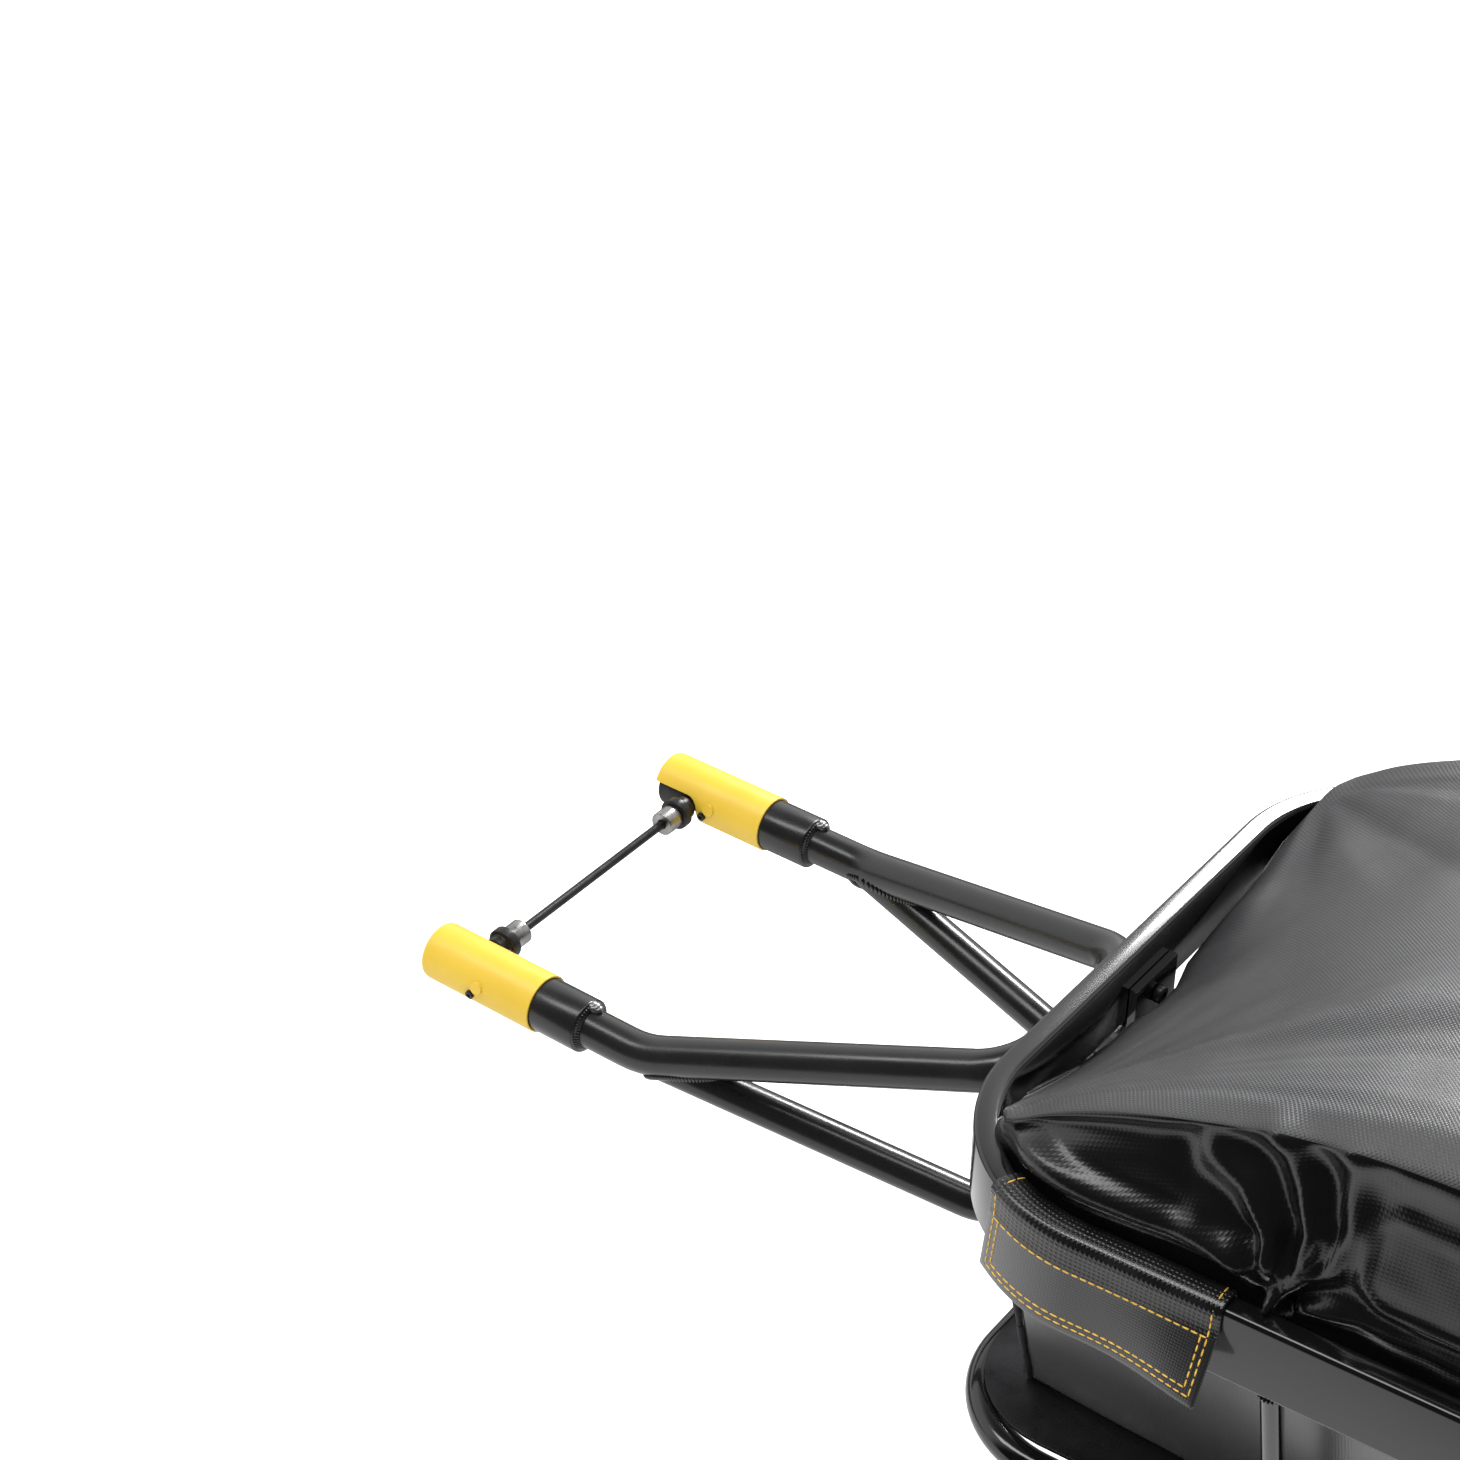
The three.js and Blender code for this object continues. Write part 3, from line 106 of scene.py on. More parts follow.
def addStudio():
    for name, settings in lamps.items():
        addLamp(name, *settings)
    world = bpy.data.worlds.new("studio")
    world.use_nodes = True
    nodes, links = world.node_tree.nodes, world.node_tree.links
    place = nodes.new("ShaderNodeTexCoord").outputs["Generated"]
    split = nodes.new("ShaderNodeSeparateXYZ")
    links.new(place, split.inputs[0])
    around = addSpread(nodes, links, awayFrom(nodes, links, place), *backdrop["around"])
    above = addSpread(nodes, links, split.outputs["Z"], *backdrop["above"])
    path = nodes.new("ShaderNodeLightPath")
    shiny = nodes.new("ShaderNodeMix")
    seen = nodes.new("ShaderNodeMix")
    shiny.inputs[2].default_value = backdrop["light"]
    seen.inputs[3].default_value = backdrop["seen"]
    links.new(path.outputs["Is Glossy Ray"], shiny.inputs[0])
    links.new(multiplied(nodes, links, around, above), shiny.inputs[3])
    links.new(path.outputs["Is Camera Ray"], seen.inputs[0])
    links.new(shiny.outputs[0], seen.inputs[2])
    links.new(seen.outputs[0], nodes["Background"].inputs["Strength"])
    nodes["Background"].inputs["Color"].default_value = (1, 1, 1, 1)
    scene.world = world
    scene.view_settings.view_transform = "Standard"


def awayFrom(nodes, links, value):
    # how far a direction or a place lies toward the white backdrop
    dot = nodes.new("ShaderNodeVectorMath")
    dot.operation = "DOT_PRODUCT"
    dot.inputs[1].default_value = backdrop["way"]
    links.new(value, dot.inputs[0])
    return dot.outputs["Value"]


def addSpread(nodes, links, value, fromLow, fromHigh, low, high, kind="SMOOTHSTEP"):
    spread = nodes.new("ShaderNodeMapRange")
    spread.interpolation_type = kind
    spread.inputs["From Min"].default_value = fromLow
    spread.inputs["From Max"].default_value = fromHigh
    spread.inputs["To Min"].default_value = low
    spread.inputs["To Max"].default_value = high
    links.new(value, spread.inputs["Value"])
    return spread.outputs[0]


def multiplied(nodes, links, first, second):
    both = nodes.new("ShaderNodeMath")
    both.operation = "MULTIPLY"
    links.new(first, both.inputs[0])
    links.new(second, both.inputs[1])
    return both.outputs[0]


def addFloor():
    bm = newShape(bmesh.ops.create_grid, x_segments=1, y_segments=1, size=paper["size"])
    bmesh.ops.translate(bm, verts=bm.verts, vec=(0, 0, cadLow.z))
    floor = placeMesh("floor", bm)
    finish = bpy.data.materials.new("floorPaper")
    finish.use_nodes = True
    nodes, links = finish.node_tree.nodes, finish.node_tree.links
    shader = nodes["Principled BSDF"]
    shader.inputs["Base Color"].default_value = (*paper["colour"], 1)
    shader.inputs["Roughness"].default_value = paper["roughness"]
    glow = nodes.new("ShaderNodeEmission")
    glow.inputs[1].default_value = paper["glow"]
    both = nodes.new("ShaderNodeAddShader")
    path = nodes.new("ShaderNodeLightPath")
    seen = nodes.new("ShaderNodeMixShader")
    shiny = nodes.new("ShaderNodeMixShader")
    image = nodes.new("ShaderNodeEmission")
    place = nodes.new("ShaderNodeTexCoord")
    away = awayFrom(nodes, links, place.outputs["Object"])
    far, near = (addSpread(nodes, links, away, *paper[stretch]) for stretch in ("far", "near"))
    links.new(multiplied(nodes, links, far, near), image.inputs[1])
    links.new(shader.outputs[0], both.inputs[0])
    links.new(glow.outputs[0], both.inputs[1])
    links.new(path.outputs["Is Glossy Ray"], shiny.inputs[0])
    links.new(shader.outputs[0], shiny.inputs[1])
    links.new(image.outputs[0], shiny.inputs[2])
    links.new(path.outputs["Is Camera Ray"], seen.inputs[0])
    links.new(shiny.outputs[0], seen.inputs[1])
    links.new(both.outputs[0], seen.inputs[2])
    links.new(seen.outputs[0], nodes["Material Output"].inputs[0])
    floor.data.materials.append(finish)


# Finishes

# tint, wear and bump: a noise's scale and detail, then the dark and the light colour, the least and the most
# roughness, or the bump's depth and strength; weave: the threads' pitch, their depth and their turn
looks = {
    "satinPaint": {"colour": (0.01, 0.01, 0.0105), "roughness": 0.26, "coat": 0.3, "coatRoughness": 0.16,
                   "tint": (9, 3, (0.008, 0.008, 0.0085), (0.014, 0.014, 0.0145)),
                   "wear": (40, 4, 0.22, 0.32), "bump": (900, 2, 0.00012, 0.5)},
    "glossPaint": {"colour": (0.004, 0.004, 0.0045), "roughness": 0.14, "coat": 0.6, "coatRoughness": 0.05,
                   "tint": (6, 3, (0.003, 0.003, 0.0033), (0.006, 0.006, 0.0064)),
                   "wear": (12, 3, 0.13, 0.17), "bump": (120, 2, 0.00001, 0.3)},
    "sleevePlastic": {"colour": (0.75, 0.5, 0.045), "roughness": 0.38,
                      "tint": (25, 4, (0.73, 0.485, 0.04), (0.77, 0.52, 0.05)),
                      "wear": (60, 4, 0.32, 0.42), "bump": (1200, 2, 0.00008, 0.6)},
    "blackOxide": {"colour": (0.012, 0.012, 0.013), "roughness": 0.3, "metallic": 0.3,
                   "tint": (80, 4, (0.008, 0.008, 0.009), (0.022, 0.021, 0.021)),
                   "wear": (120, 4, 0.24, 0.42), "bump": (700, 3, 0.00008, 0.5)},
    "zincSteel": {"colour": (0.36, 0.35, 0.34), "roughness": 0.34, "metallic": 1.0,
                  "tint": (70, 4, (0.28, 0.275, 0.27), (0.44, 0.43, 0.42)),
                  "wear": (200, 3, 0.22, 0.4), "bump": (500, 2, 0.00006, 0.5)},
    "weldMetal": {"colour": (0.12, 0.12, 0.125), "roughness": 0.25, "metallic": 0.8, "coat": 0.5,
                  "tint": (250, 4, (0.06, 0.06, 0.062), (0.34, 0.34, 0.35)),
                  "wear": (300, 4, 0.18, 0.36), "bump": (800, 3, 0.0002, 0.6)},
    "wheelAlloy": {"colour": (0.03, 0.03, 0.032), "roughness": 0.28, "metallic": 0.7,
                   "tint": (20, 4, (0.024, 0.024, 0.026), (0.045, 0.045, 0.048)),
                   "wear": (90, 4, 0.22, 0.36), "bump": (600, 2, 0.00006, 0.4)},
    "polishedAlloy": {"colour": (0.62, 0.62, 0.63), "roughness": 0.2, "metallic": 1.0,
                      "tint": (50, 4, (0.52, 0.52, 0.53), (0.7, 0.7, 0.71)),
                      "wear": (150, 4, 0.14, 0.3), "bump": (400, 2, 0.00004, 0.4)},
    "tyreRubber": {"colour": (0.02, 0.02, 0.021), "roughness": 0.72, "specular": 0.35,
                   "tint": (30, 5, (0.014, 0.014, 0.015), (0.034, 0.033, 0.032)),
                   "wear": (80, 4, 0.62, 0.82), "bump": (700, 3, 0.0002, 0.6)},
    "guardPlastic": {"colour": (0.018, 0.018, 0.019), "roughness": 0.45,
                     "tint": (15, 4, (0.014, 0.014, 0.015), (0.026, 0.026, 0.027)),
                     "wear": (70, 4, 0.38, 0.55), "bump": (1100, 2, 0.0001, 0.6)},
    "reflectorPlastic": {"colour": (0.5, 0.008, 0.008), "roughness": 0.12, "coat": 0.8, "coatRoughness": 0.03,
                         "tint": (120, 3, (0.38, 0.004, 0.004), (0.62, 0.012, 0.012)),
                         "bump": (260, 2, 0.0001, 0.4)},
    # the bag's top cloth is lighter and its side cloth near black partly as painted light and painted shade, for the
    # bright reflection on the top and the dark one on the side; their weaves and gloss differ as the cloths do
    "matteCloth": {"colour": (0.035, 0.035, 0.037), "roughness": 0.42, "specular": 0.55,
                   "tint": (7, 4, (0.028, 0.028, 0.03), (0.045, 0.045, 0.047)),
                   "wear": (14, 4, 0.36, 0.5), "weave": (0.0016, 0.00018, 45)},
    "glossCloth": {"colour": (0.004, 0.004, 0.0045), "roughness": 0.22, "coat": 0.35, "coatRoughness": 0.2,
                   "tint": (8, 4, (0.003, 0.003, 0.0033), (0.006, 0.006, 0.0065)),
                   "wear": (22, 4, 0.19, 0.27), "weave": (0.0024, 0.00007, 0)},
    "stripCloth": {"colour": (0.006, 0.006, 0.0065), "roughness": 0.2, "coat": 0.6, "coatRoughness": 0.12,
                   "tint": (60, 4, (0.004, 0.004, 0.0045), (0.012, 0.012, 0.013)),
                   "wear": (90, 4, 0.15, 0.32), "weave": (0.0026, 0.0004, 0)},
    # the cloth below the rim has the top's lighter colour as a painted reflection of the white floor, under a real coat
    "coatedClothPaintedReflection": {"colour": (0.035, 0.035, 0.036), "roughness": 0.34, "coat": 0.8, "coatRoughness": 0.24,
                    "specular": 1.0, "tint": (9, 4, (0.028, 0.028, 0.029), (0.044, 0.044, 0.045)),
                    "wear": (20, 4, 0.28, 0.4), "weave": (0.0018, 0.00008, 0)},
    "satinCloth": {"colour": (0.016, 0.016, 0.016), "roughness": 0.3, "coat": 0.9, "coatRoughness": 0.26,
                   "specular": 1.0, "tint": (9, 4, (0.01, 0.01, 0.01), (0.02, 0.02, 0.02)),
                   "wear": (20, 4, 0.25, 0.36), "weave": (0.0016, 0.00012, 0)},
    "goldThread": {"colour": (0.8, 0.48, 0.05), "roughness": 0.55,
                   "tint": (500, 2, (0.7, 0.38, 0.03), (0.9, 0.56, 0.08)), "bump": (1800, 2, 0.0002, 0.6)},
    "strapWeb": {"colour": (0.012, 0.012, 0.013), "roughness": 0.65,
                 "tint": (90, 4, (0.008, 0.008, 0.009), (0.02, 0.02, 0.021)),
                 "bump": (900, 2, 0.0003, 0.7), "stretch": (1, 3, 1)}}
noiseSpan = (0.3, 0.7)  # the part of a noise that its colours and roughness are spread over


def addNoise(finish, scale, detail, stretch=(1, 1, 1)):
    nodes, links = finish.node_tree.nodes, finish.node_tree.links
    place = nodes.new("ShaderNodeTexCoord")
    turn = nodes.new("ShaderNodeMapping")
    turn.inputs["Scale"].default_value = stretch
    grain = nodes.new("ShaderNodeTexNoise")
    grain.inputs["Scale"].default_value = scale
    grain.inputs["Detail"].default_value = detail
    links.new(place.outputs["Object"], turn.inputs["Vector"])
    links.new(turn.outputs["Vector"], grain.inputs["Vector"])
    return grain.outputs["Fac"]


def varyColour(finish, value, dark, light):
    nodes, links = finish.node_tree.nodes, finish.node_tree.links
    ramp = nodes.new("ShaderNodeValToRGB")
    for stop, place, colour in zip(ramp.color_ramp.elements, noiseSpan, (dark, light)):
        stop.position = place
        stop.color = (*colour, 1)
    links.new(value, ramp.inputs[0])
    links.new(ramp.outputs[0], nodes["Principled BSDF"].inputs["Base Color"])


def varyRoughness(finish, value, low, high):
    nodes, links = finish.node_tree.nodes, finish.node_tree.links
    spread = addSpread(nodes, links, value, *noiseSpan, low, high, "LINEAR")
    links.new(spread, nodes["Principled BSDF"].inputs["Roughness"])


def addBump(finish, value, depth, strength=1.0):
    nodes, links = finish.node_tree.nodes, finish.node_tree.links
    bump = nodes.new("ShaderNodeBump")
    bump.inputs["Distance"].default_value = depth
    bump.inputs["Strength"].default_value = strength
    links.new(value, bump.inputs["Height"])
    links.new(bump.outputs[0], nodes["Principled BSDF"].inputs["Normal"])


def addWeave(finish, pitch, depth, turn):
    nodes, links = finish.node_tree.nodes, finish.node_tree.links
    place = nodes.new("ShaderNodeTexCoord")
    waves = []
    for angle in (turn, turn + 90):
        spin = nodes.new("ShaderNodeMapping")
        spin.inputs["Rotation"].default_value = (0, 0, math.radians(angle))
        wave = nodes.new("ShaderNodeTexWave")
        wave.bands_direction = "X"
        wave.inputs["Scale"].default_value = math.pi / 10 / pitch
        links.new(place.outputs["UV"], spin.inputs["Vector"])
        links.new(spin.outputs["Vector"], wave.inputs["Vector"])
        waves.append(wave.outputs["Fac"])
    addBump(finish, multiplied(nodes, links, *waves), depth)


def addFinish(name, look):
    finish = bpy.data.materials.new(name)
    finish.use_nodes = True
    inputs = finish.node_tree.nodes["Principled BSDF"].inputs
    inputs["Base Color"].default_value = (*look["colour"], 1)
    inputs["Roughness"].default_value = look["roughness"]
    inputs["Metallic"].default_value = look.get("metallic", 0)
    inputs["Coat Weight"].default_value = look.get("coat", 0)
    inputs["Coat Roughness"].default_value = look.get("coatRoughness", 0.1)
    inputs["Specular IOR Level"].default_value = look.get("specular", 0.5)
    scale, detail, dark, light = look["tint"]
    varyColour(finish, addNoise(finish, scale, detail), dark, light)
    if "wear" in look:
        scale, detail, low, high = look["wear"]
        varyRoughness(finish, addNoise(finish, scale, detail), low, high)
    if "bump" in look:
        scale, detail, depth, strength = look["bump"]
        addBump(finish, addNoise(finish, scale, detail, look.get("stretch", (1, 1, 1))), depth, strength)
    if "weave" in look:
        addWeave(finish, *look["weave"])
    return finish


# Shared ways of making pieces

def newShape(maker, *places, **sizes):
    bm = bmesh.new()
    maker(bm, *places, **sizes)
    return bm


def placeMesh(name, bm, *coats):
    mesh = bpy.data.meshes.new(name)
    bm.to_mesh(mesh)
    bm.free()
    for coat in coats:
        mesh.materials.append(finishes[coat])
    piece = bpy.data.objects.new(name, mesh)
    scene.collection.objects.link(piece)
    return piece


def addBevel(piece, width, angle):
    bevel = piece.modifiers.new("bevel", "BEVEL")
    bevel.width = width
    bevel.segments = 2
    bevel.limit_method = "ANGLE"
    bevel.angle_limit = math.radians(angle)


def addPiece(name, bm, finish, body, stands=(), sharp=38, bevel=None):
    # edges sharper than an angle in degrees stay crisp, and a bevel takes their width in metres
    bmesh.ops.remove_doubles(bm, verts=bm.verts, dist=1e-6)
    bmesh.ops.recalc_face_normals(bm, faces=bm.faces)
    for face in bm.faces:
        face.smooth = True
    for edge in bm.edges:
        if edge.is_manifold and edge.calc_face_angle() > math.radians(sharp):
            edge.smooth = False
    piece = placeMesh(name, bm, finish)
    if bevel:
        addBevel(piece, bevel, sharp)
    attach(piece, body)
    if stands:
        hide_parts(*stands)
    return piece


def axisTurn(axis):
    return {"x": Matrix.Rotation(math.pi / 2, 4, "Y"), "y": Matrix.Rotation(-math.pi / 2, 4, "X"),
            "z": Matrix.Identity(4)}[axis]


def turnProfile(bm, profile, axis="z", centre=(0, 0, 0), steps=48, closed=False):
    # the profile is pairs of radius and place along the axis
    before = set(bm.verts)
    verts = [bm.verts.new((radius, 0, along)) for radius, along in profile]
    edges = [bm.edges.new(pair) for pair in zip(verts, verts[1:])]
    if closed:
        edges.append(bm.edges.new((verts[-1], verts[0])))
    bmesh.ops.spin(bm, geom=verts + edges, cent=(0, 0, 0), axis=(0, 0, 1), angle=2 * math.pi,
                   steps=steps, use_merge=True)
    fresh = [v for v in bm.verts if v not in before]
    bmesh.ops.transform(bm, matrix=Matrix.Translation(centre) @ axisTurn(axis), verts=fresh)


def softProfile(corners, radius, steps=4, closed=False):
    # rounds each corner of a profile by up to this radius, but keeps an open profile's ends
    soft = []
    total = len(corners)
    for i, corner in enumerate(corners):
        here = Vector(corner)
        if not closed and i in (0, total - 1):
            soft.append(tuple(here))
            continue
        back = Vector(corners[i - 1]) - here
        ahead = Vector(corners[(i + 1) % total]) - here
        reach = min(radius, 0.45 * back.length, 0.45 * ahead.length)
        start, end = here + back.normalized() * reach, here + ahead.normalized() * reach
        for k in range(steps + 1):
            t = k / steps
            soft.append(tuple(start * (1 - t) ** 2 + here * 2 * t * (1 - t) + end * t ** 2))
    return soft


def turnRing(side, corners, radius, steps, fine=4):
    # a ring about the y axis with rounded corners, turned over for the left side
    bm = newShape(turnProfile, softProfile(corners, radius, fine, closed=True), "y", steps=steps, closed=True)
    if side < 0:
        bmesh.ops.scale(bm, verts=bm.verts, vec=(1, -1, 1))
    return bm


def pushRing(bm, ring, vec):
    made = bmesh.ops.extrude_edge_only(bm, edges=ring)["geom"]
    verts = {item for item in made if isinstance(item, bmesh.types.BMVert)}
    bmesh.ops.translate(bm, verts=list(verts), vec=vec)
    return [item for item in made if isinstance(item, bmesh.types.BMEdge) and set(item.verts) <= verts]


def swingRing(bm, ring, centre, axis, angle, steps):
    geom = list({v for edge in ring for v in edge.verts}) + list(ring)
    made = bmesh.ops.spin(bm, geom=geom, cent=centre, axis=axis, angle=angle, steps=steps)["geom_last"]
    verts = {item for item in made if isinstance(item, bmesh.types.BMVert)}
    return [item for item in made if isinstance(item, bmesh.types.BMEdge) and set(item.verts) <= verts]


def sweepRing(bm, ring, points, bends, fine=5):
    # straight runs are pushed and bends are swung, as a tube bender makes them, in steps of a few degrees
    here = points[0]
    for before, corner, after, radius in zip(points, points[1:], points[2:], bends):
        inward, outward = (corner - before).normalized(), (after - corner).normalized()
        angle = inward.angle(outward)
        reach = radius * math.tan(angle / 2)
        start = corner - inward * reach
        ring = pushRing(bm, ring, start - here)
        axis = inward.cross(outward).normalized()
        ring = swingRing(bm, ring, start + axis.cross(inward) * radius, axis, angle,
                         max(2, round(math.degrees(angle) / fine)))
        here = corner + outward * reach
    return pushRing(bm, ring, points[-1] - here)


def bendTube(bm, points, bends, radius, around=40):
    before = set(bm.edges)
    points = [Vector(point) for point in points]
    facing = (points[1] - points[0]).to_track_quat("Z", "Y").to_matrix().to_4x4()
    bmesh.ops.create_circle(bm, segments=around, radius=radius, matrix=Matrix.Translation(points[0]) @ facing)
    first = [edge for edge in bm.edges if edge not in before]
    last = sweepRing(bm, first, points, bends)
    bmesh.ops.edgeloop_fill(bm, edges=first)
    bmesh.ops.edgeloop_fill(bm, edges=last)


def asMesh(name, bm):
    bmesh.ops.remove_doubles(bm, verts=bm.verts, dist=2e-6)
    bmesh.ops.recalc_face_normals(bm, faces=bm.faces)
    return placeMesh(name, bm)


def carve(bm, cutters):
    # takes the cutters away from the shape and gives back the rest
    body = asMesh("carved", bm)
    tools = [asMesh("cutter", cutter) for cutter in cutters]
    for tool in tools:
        cut = body.modifiers.new("cut", "BOOLEAN")
        cut.operation = "DIFFERENCE"
        cut.solver = "EXACT"
        cut.object = tool
    graph = bpy.context.evaluated_depsgraph_get()
    left = bmesh.new()
    left.from_mesh(body.evaluated_get(graph).to_mesh())
    for holder in [body, *tools]:
        mesh = holder.data
        bpy.data.objects.remove(holder)
        bpy.data.meshes.remove(mesh)
    return left


def boxShape(bm, low, high):
    low, high = Vector(low), Vector(high)
    place = Matrix.Translation((low + high) / 2) @ Matrix.Diagonal((*(high - low), 1))
    return bmesh.ops.create_cube(bm, size=1, matrix=place)["verts"]


def roundedBox(low, high, edge, segments):
    # a box whose edges along x are round
    bm = newShape(boxShape, low, high)
    along = [line for line in bm.edges if abs((line.verts[0].co - line.verts[1].co).normalized().x) > 0.9]
    bmesh.ops.bevel(bm, geom=along, offset=edge, offset_type="OFFSET", affect="EDGES", segments=segments,
                    profile=0.5, material=-1)
    return bm


def rodShape(bm, start, end, radius, around=24, tip=None):
    start, end = Vector(start), Vector(end)
    span = end - start
    place = Matrix.Translation((start + end) / 2) @ span.to_track_quat("Z", "Y").to_matrix().to_4x4()
    bmesh.ops.create_cone(bm, cap_ends=True, segments=around, radius1=radius,
                          radius2=radius if tip is None else tip, depth=span.length, matrix=place)


def plateShape(bm, outline, push):
    # a flat outline of points, thickened by a push
    face = bm.faces.new([bm.verts.new(point) for point in outline])
    made = bmesh.ops.extrude_face_region(bm, geom=[face])["geom"]
    verts = [item for item in made if isinstance(item, bmesh.types.BMVert)]
    bmesh.ops.translate(bm, verts=verts, vec=push)


def shapeMesh(maker, **sizes):
    # a small shape that is stamped many times
    bm = newShape(maker, **sizes)
    mesh = bpy.data.meshes.new("shape")
    bm.to_mesh(mesh)
    bm.free()
    return mesh


def stamp(bm, shape, place):
    copy = shapes[shape].copy()
    copy.transform(place)
    bm.from_mesh(copy)
    bpy.data.meshes.remove(copy)


weldBead = {"shape": (0.42, 1, 0.62), "lean": -24, "pitch": 0.0016}


def weldScale(bm, point, along, out, size):
    # one flat scale of a weld bead
    along, out = Vector(along).normalized(), Vector(out).normalized()
    across = out.cross(along).normalized()
    turn = Matrix((along, across, out)).transposed().to_4x4()
    shape = Matrix.Diagonal((*(size * share for share in weldBead["shape"]), 1))
    lean = Matrix.Rotation(math.radians(weldBead["lean"]), 4, "Y")
    stamp(bm, "scale", Matrix.Translation(point) @ turn @ lean @ shape)


def weldRing(bm, centre, axis, radius, size, pitch=weldBead["pitch"]):
    axis = Vector(axis).normalized()
    arm = axis.orthogonal().normalized()
    count = round(2 * math.pi * radius / pitch)
    for i in range(count):
        out = Matrix.Rotation(2 * math.pi * i / count, 3, axis) @ arm
        weldScale(bm, Vector(centre) + out * radius, axis.cross(out), (out + axis).normalized(), size)


# Hitch

hitch = {"halfSpan": 0.117, "bodyRadius": 0.0175, "bodyRear": 0.094, "jawFront": -0.026, "jawRear": 0.0097,
         "stud": 0.006, "studRun": 0.012, "neckRadius": 0.0125, "neckFront": 0.0103, "neckRear": 0.058,
         "slotHalf": 0.0063, "slotEnd": 0.008, "slotFoot": -0.03}
sleeve = {"bore": 0.01785, "radius": 0.019, "front": -0.028, "rear": 0.0594, "shoulder": (0.0104, 0.0163),
          "shoulderBore": 0.0129, "lip": (0.0009, 0.0034), "edge": 0.0007, "notchRear": 0.008, "notchTop": 0.008,
          "notchCorner": 0.008}
setScrew = {"place": 0.0133, "drop": 8, "radius": 0.0029, "start": 0.0135, "reach": 0.0211, "socket": 0.0016,
            "socketDepth": 0.0013, "bossPlace": 0.0184, "bossDrop": -13, "bossRadius": 0.0043,
            "bossStart": 0.0165, "bossReach": 0.0203}
spring = {"wire": 0.0008, "turns": 4, "steps": 20, "travel": 0.0345, "fixedEnd": 0.058}
hitchAxle = {"rod": 0.003, "peg": 0.006, "pegStart": 0.081, "pegEnd": 0.1238, "nutStart": 0.071,
             "nutRadius": 0.0084, "ring": (0.084, 0.091), "ringRadius": 0.011, "ringBore": 0.0061,
             "collar": 0.0972, "collarRadius": 0.0082, "gap": 0.0001}


def sleeveShape(side):
    bore, radius = sleeve["bore"], sleeve["radius"]
    low, high = sleeve["shoulder"]
    corners = [(bore, sleeve["front"]), (radius, sleeve["front"]), (radius, sleeve["rear"]),
               (bore, sleeve["rear"]), (bore, high), (sleeve["shoulderBore"], high),
               (sleeve["shoulderBore"], low), (bore, low)]
    lip, taper = sleeve["lip"]
    nose = []
    for i in range(9):
        angle = math.pi / 2 * i / 8
        nose.append((radius - lip * (1 - math.sin(angle)), sleeve["front"] + taper * (1 - math.cos(angle))))
    profile = [corners[0], *nose, *softProfile(corners[1:4], sleeve["edge"], 3)[1:-1], *corners[3:]]
    bm = newShape(turnProfile, profile, "x", steps=96, closed=True)
    reach = radius + 0.003
    y = 0 if side < 0 else -reach
    corner, rear, top = sleeve["notchCorner"], sleeve["notchRear"], sleeve["notchTop"]
    arc = []
    for i in range(13):
        angle = math.pi / 2 * i / 12
        arc.append((rear - corner + corner * math.cos(angle), y, top - corner + corner * math.sin(angle)))
    front = sleeve["front"] - 0.004
    notch = [(front, y, -reach), (rear, y, -reach), *arc, (front, y, top)]
    return carve(bm, [newShape(plateShape, notch, (0, reach, 0))])


def leftward(drop):
    # a way out to the left, this many degrees below level
    drop = math.radians(drop)
    return Vector((0, -math.cos(drop), -math.sin(drop)))


def addHitch(side, label):
    centre = Vector((0, side * hitch["halfSpan"], 0))
    radius = hitch["bodyRadius"]

    bm = sleeveShape(side)
    start = Vector((setScrew["bossPlace"], 0, 0))
    out = leftward(setScrew["bossDrop"])
    rodShape(bm, start + out * setScrew["bossStart"], start + out * setScrew["bossReach"], setScrew["bossRadius"], 32)
    bmesh.ops.translate(bm, verts=bm.verts, vec=centre)
    addPiece(f"lockSleeve_{label}", bm, "sleevePlastic", f"sleeve_{label}",
             [f"lock_sleeve_{label}"], sharp=30, bevel=0.00045)

    start = Vector((setScrew["place"], 0, 0)) + centre
    out = leftward(setScrew["drop"])
    end, floor = start + out * setScrew["reach"], start + out * (setScrew["reach"] - setScrew["socketDepth"])
    bm = newShape(rodShape, start + out * setScrew["start"], end, setScrew["radius"], 28)
    socket = newShape(rodShape, floor, end + out * 0.0009, setScrew["socket"], 6)
    addPiece(f"setScrew_{label}", carve(bm, [socket]), "blackOxide", f"sleeve_{label}",
             [f"sleeve_screw_{label}"], sharp=30, bevel=0.00025)

    front, rear, stud = hitch["jawFront"], hitch["jawRear"], hitch["stud"]
    studEnd = rear + hitch["studRun"]
    profile = [(0, front), (radius, front), (radius, rear), (stud, rear), (stud, studEnd), (0, studEnd)]
    bm = newShape(turnProfile, softProfile(profile, 0.0018), "x", steps=72)
    half, end = hitch["slotHalf"], side * hitch["slotEnd"]
    opening = -side * (radius + 0.003)
    slot = newShape(boxShape, (-half, min(opening, end), hitch["slotFoot"]), (half, max(opening, end), 0))
    arch = newShape(rodShape, (0, opening, 0), (0, end, 0), half, 48)
    bm = carve(bm, [slot, arch])
    bmesh.ops.translate(bm, verts=bm.verts, vec=centre)
    addPiece(f"hitchJaw_{label}", bm, "blackOxide", "yoke", [f"hitch_jaw_{label}"],
             sharp=30, bevel=0.0006)

    neck, neckFront, neckRear, bodyRear = (hitch[key] for key in ("neckRadius", "neckFront", "neckRear", "bodyRear"))
    profile = [(0, neckFront), (neck, neckFront), (neck, neckRear), (radius, neckRear), (radius, bodyRear),
               (0, bodyRear)]
    bm = newShape(turnProfile, softProfile(profile, 0.0012), "x", centre, steps=72)
    addPiece(f"hitchBody_{label}", bm, "satinPaint", "yoke", [f"hitch_body_{label}"])
    addSpring(label, centre.y)


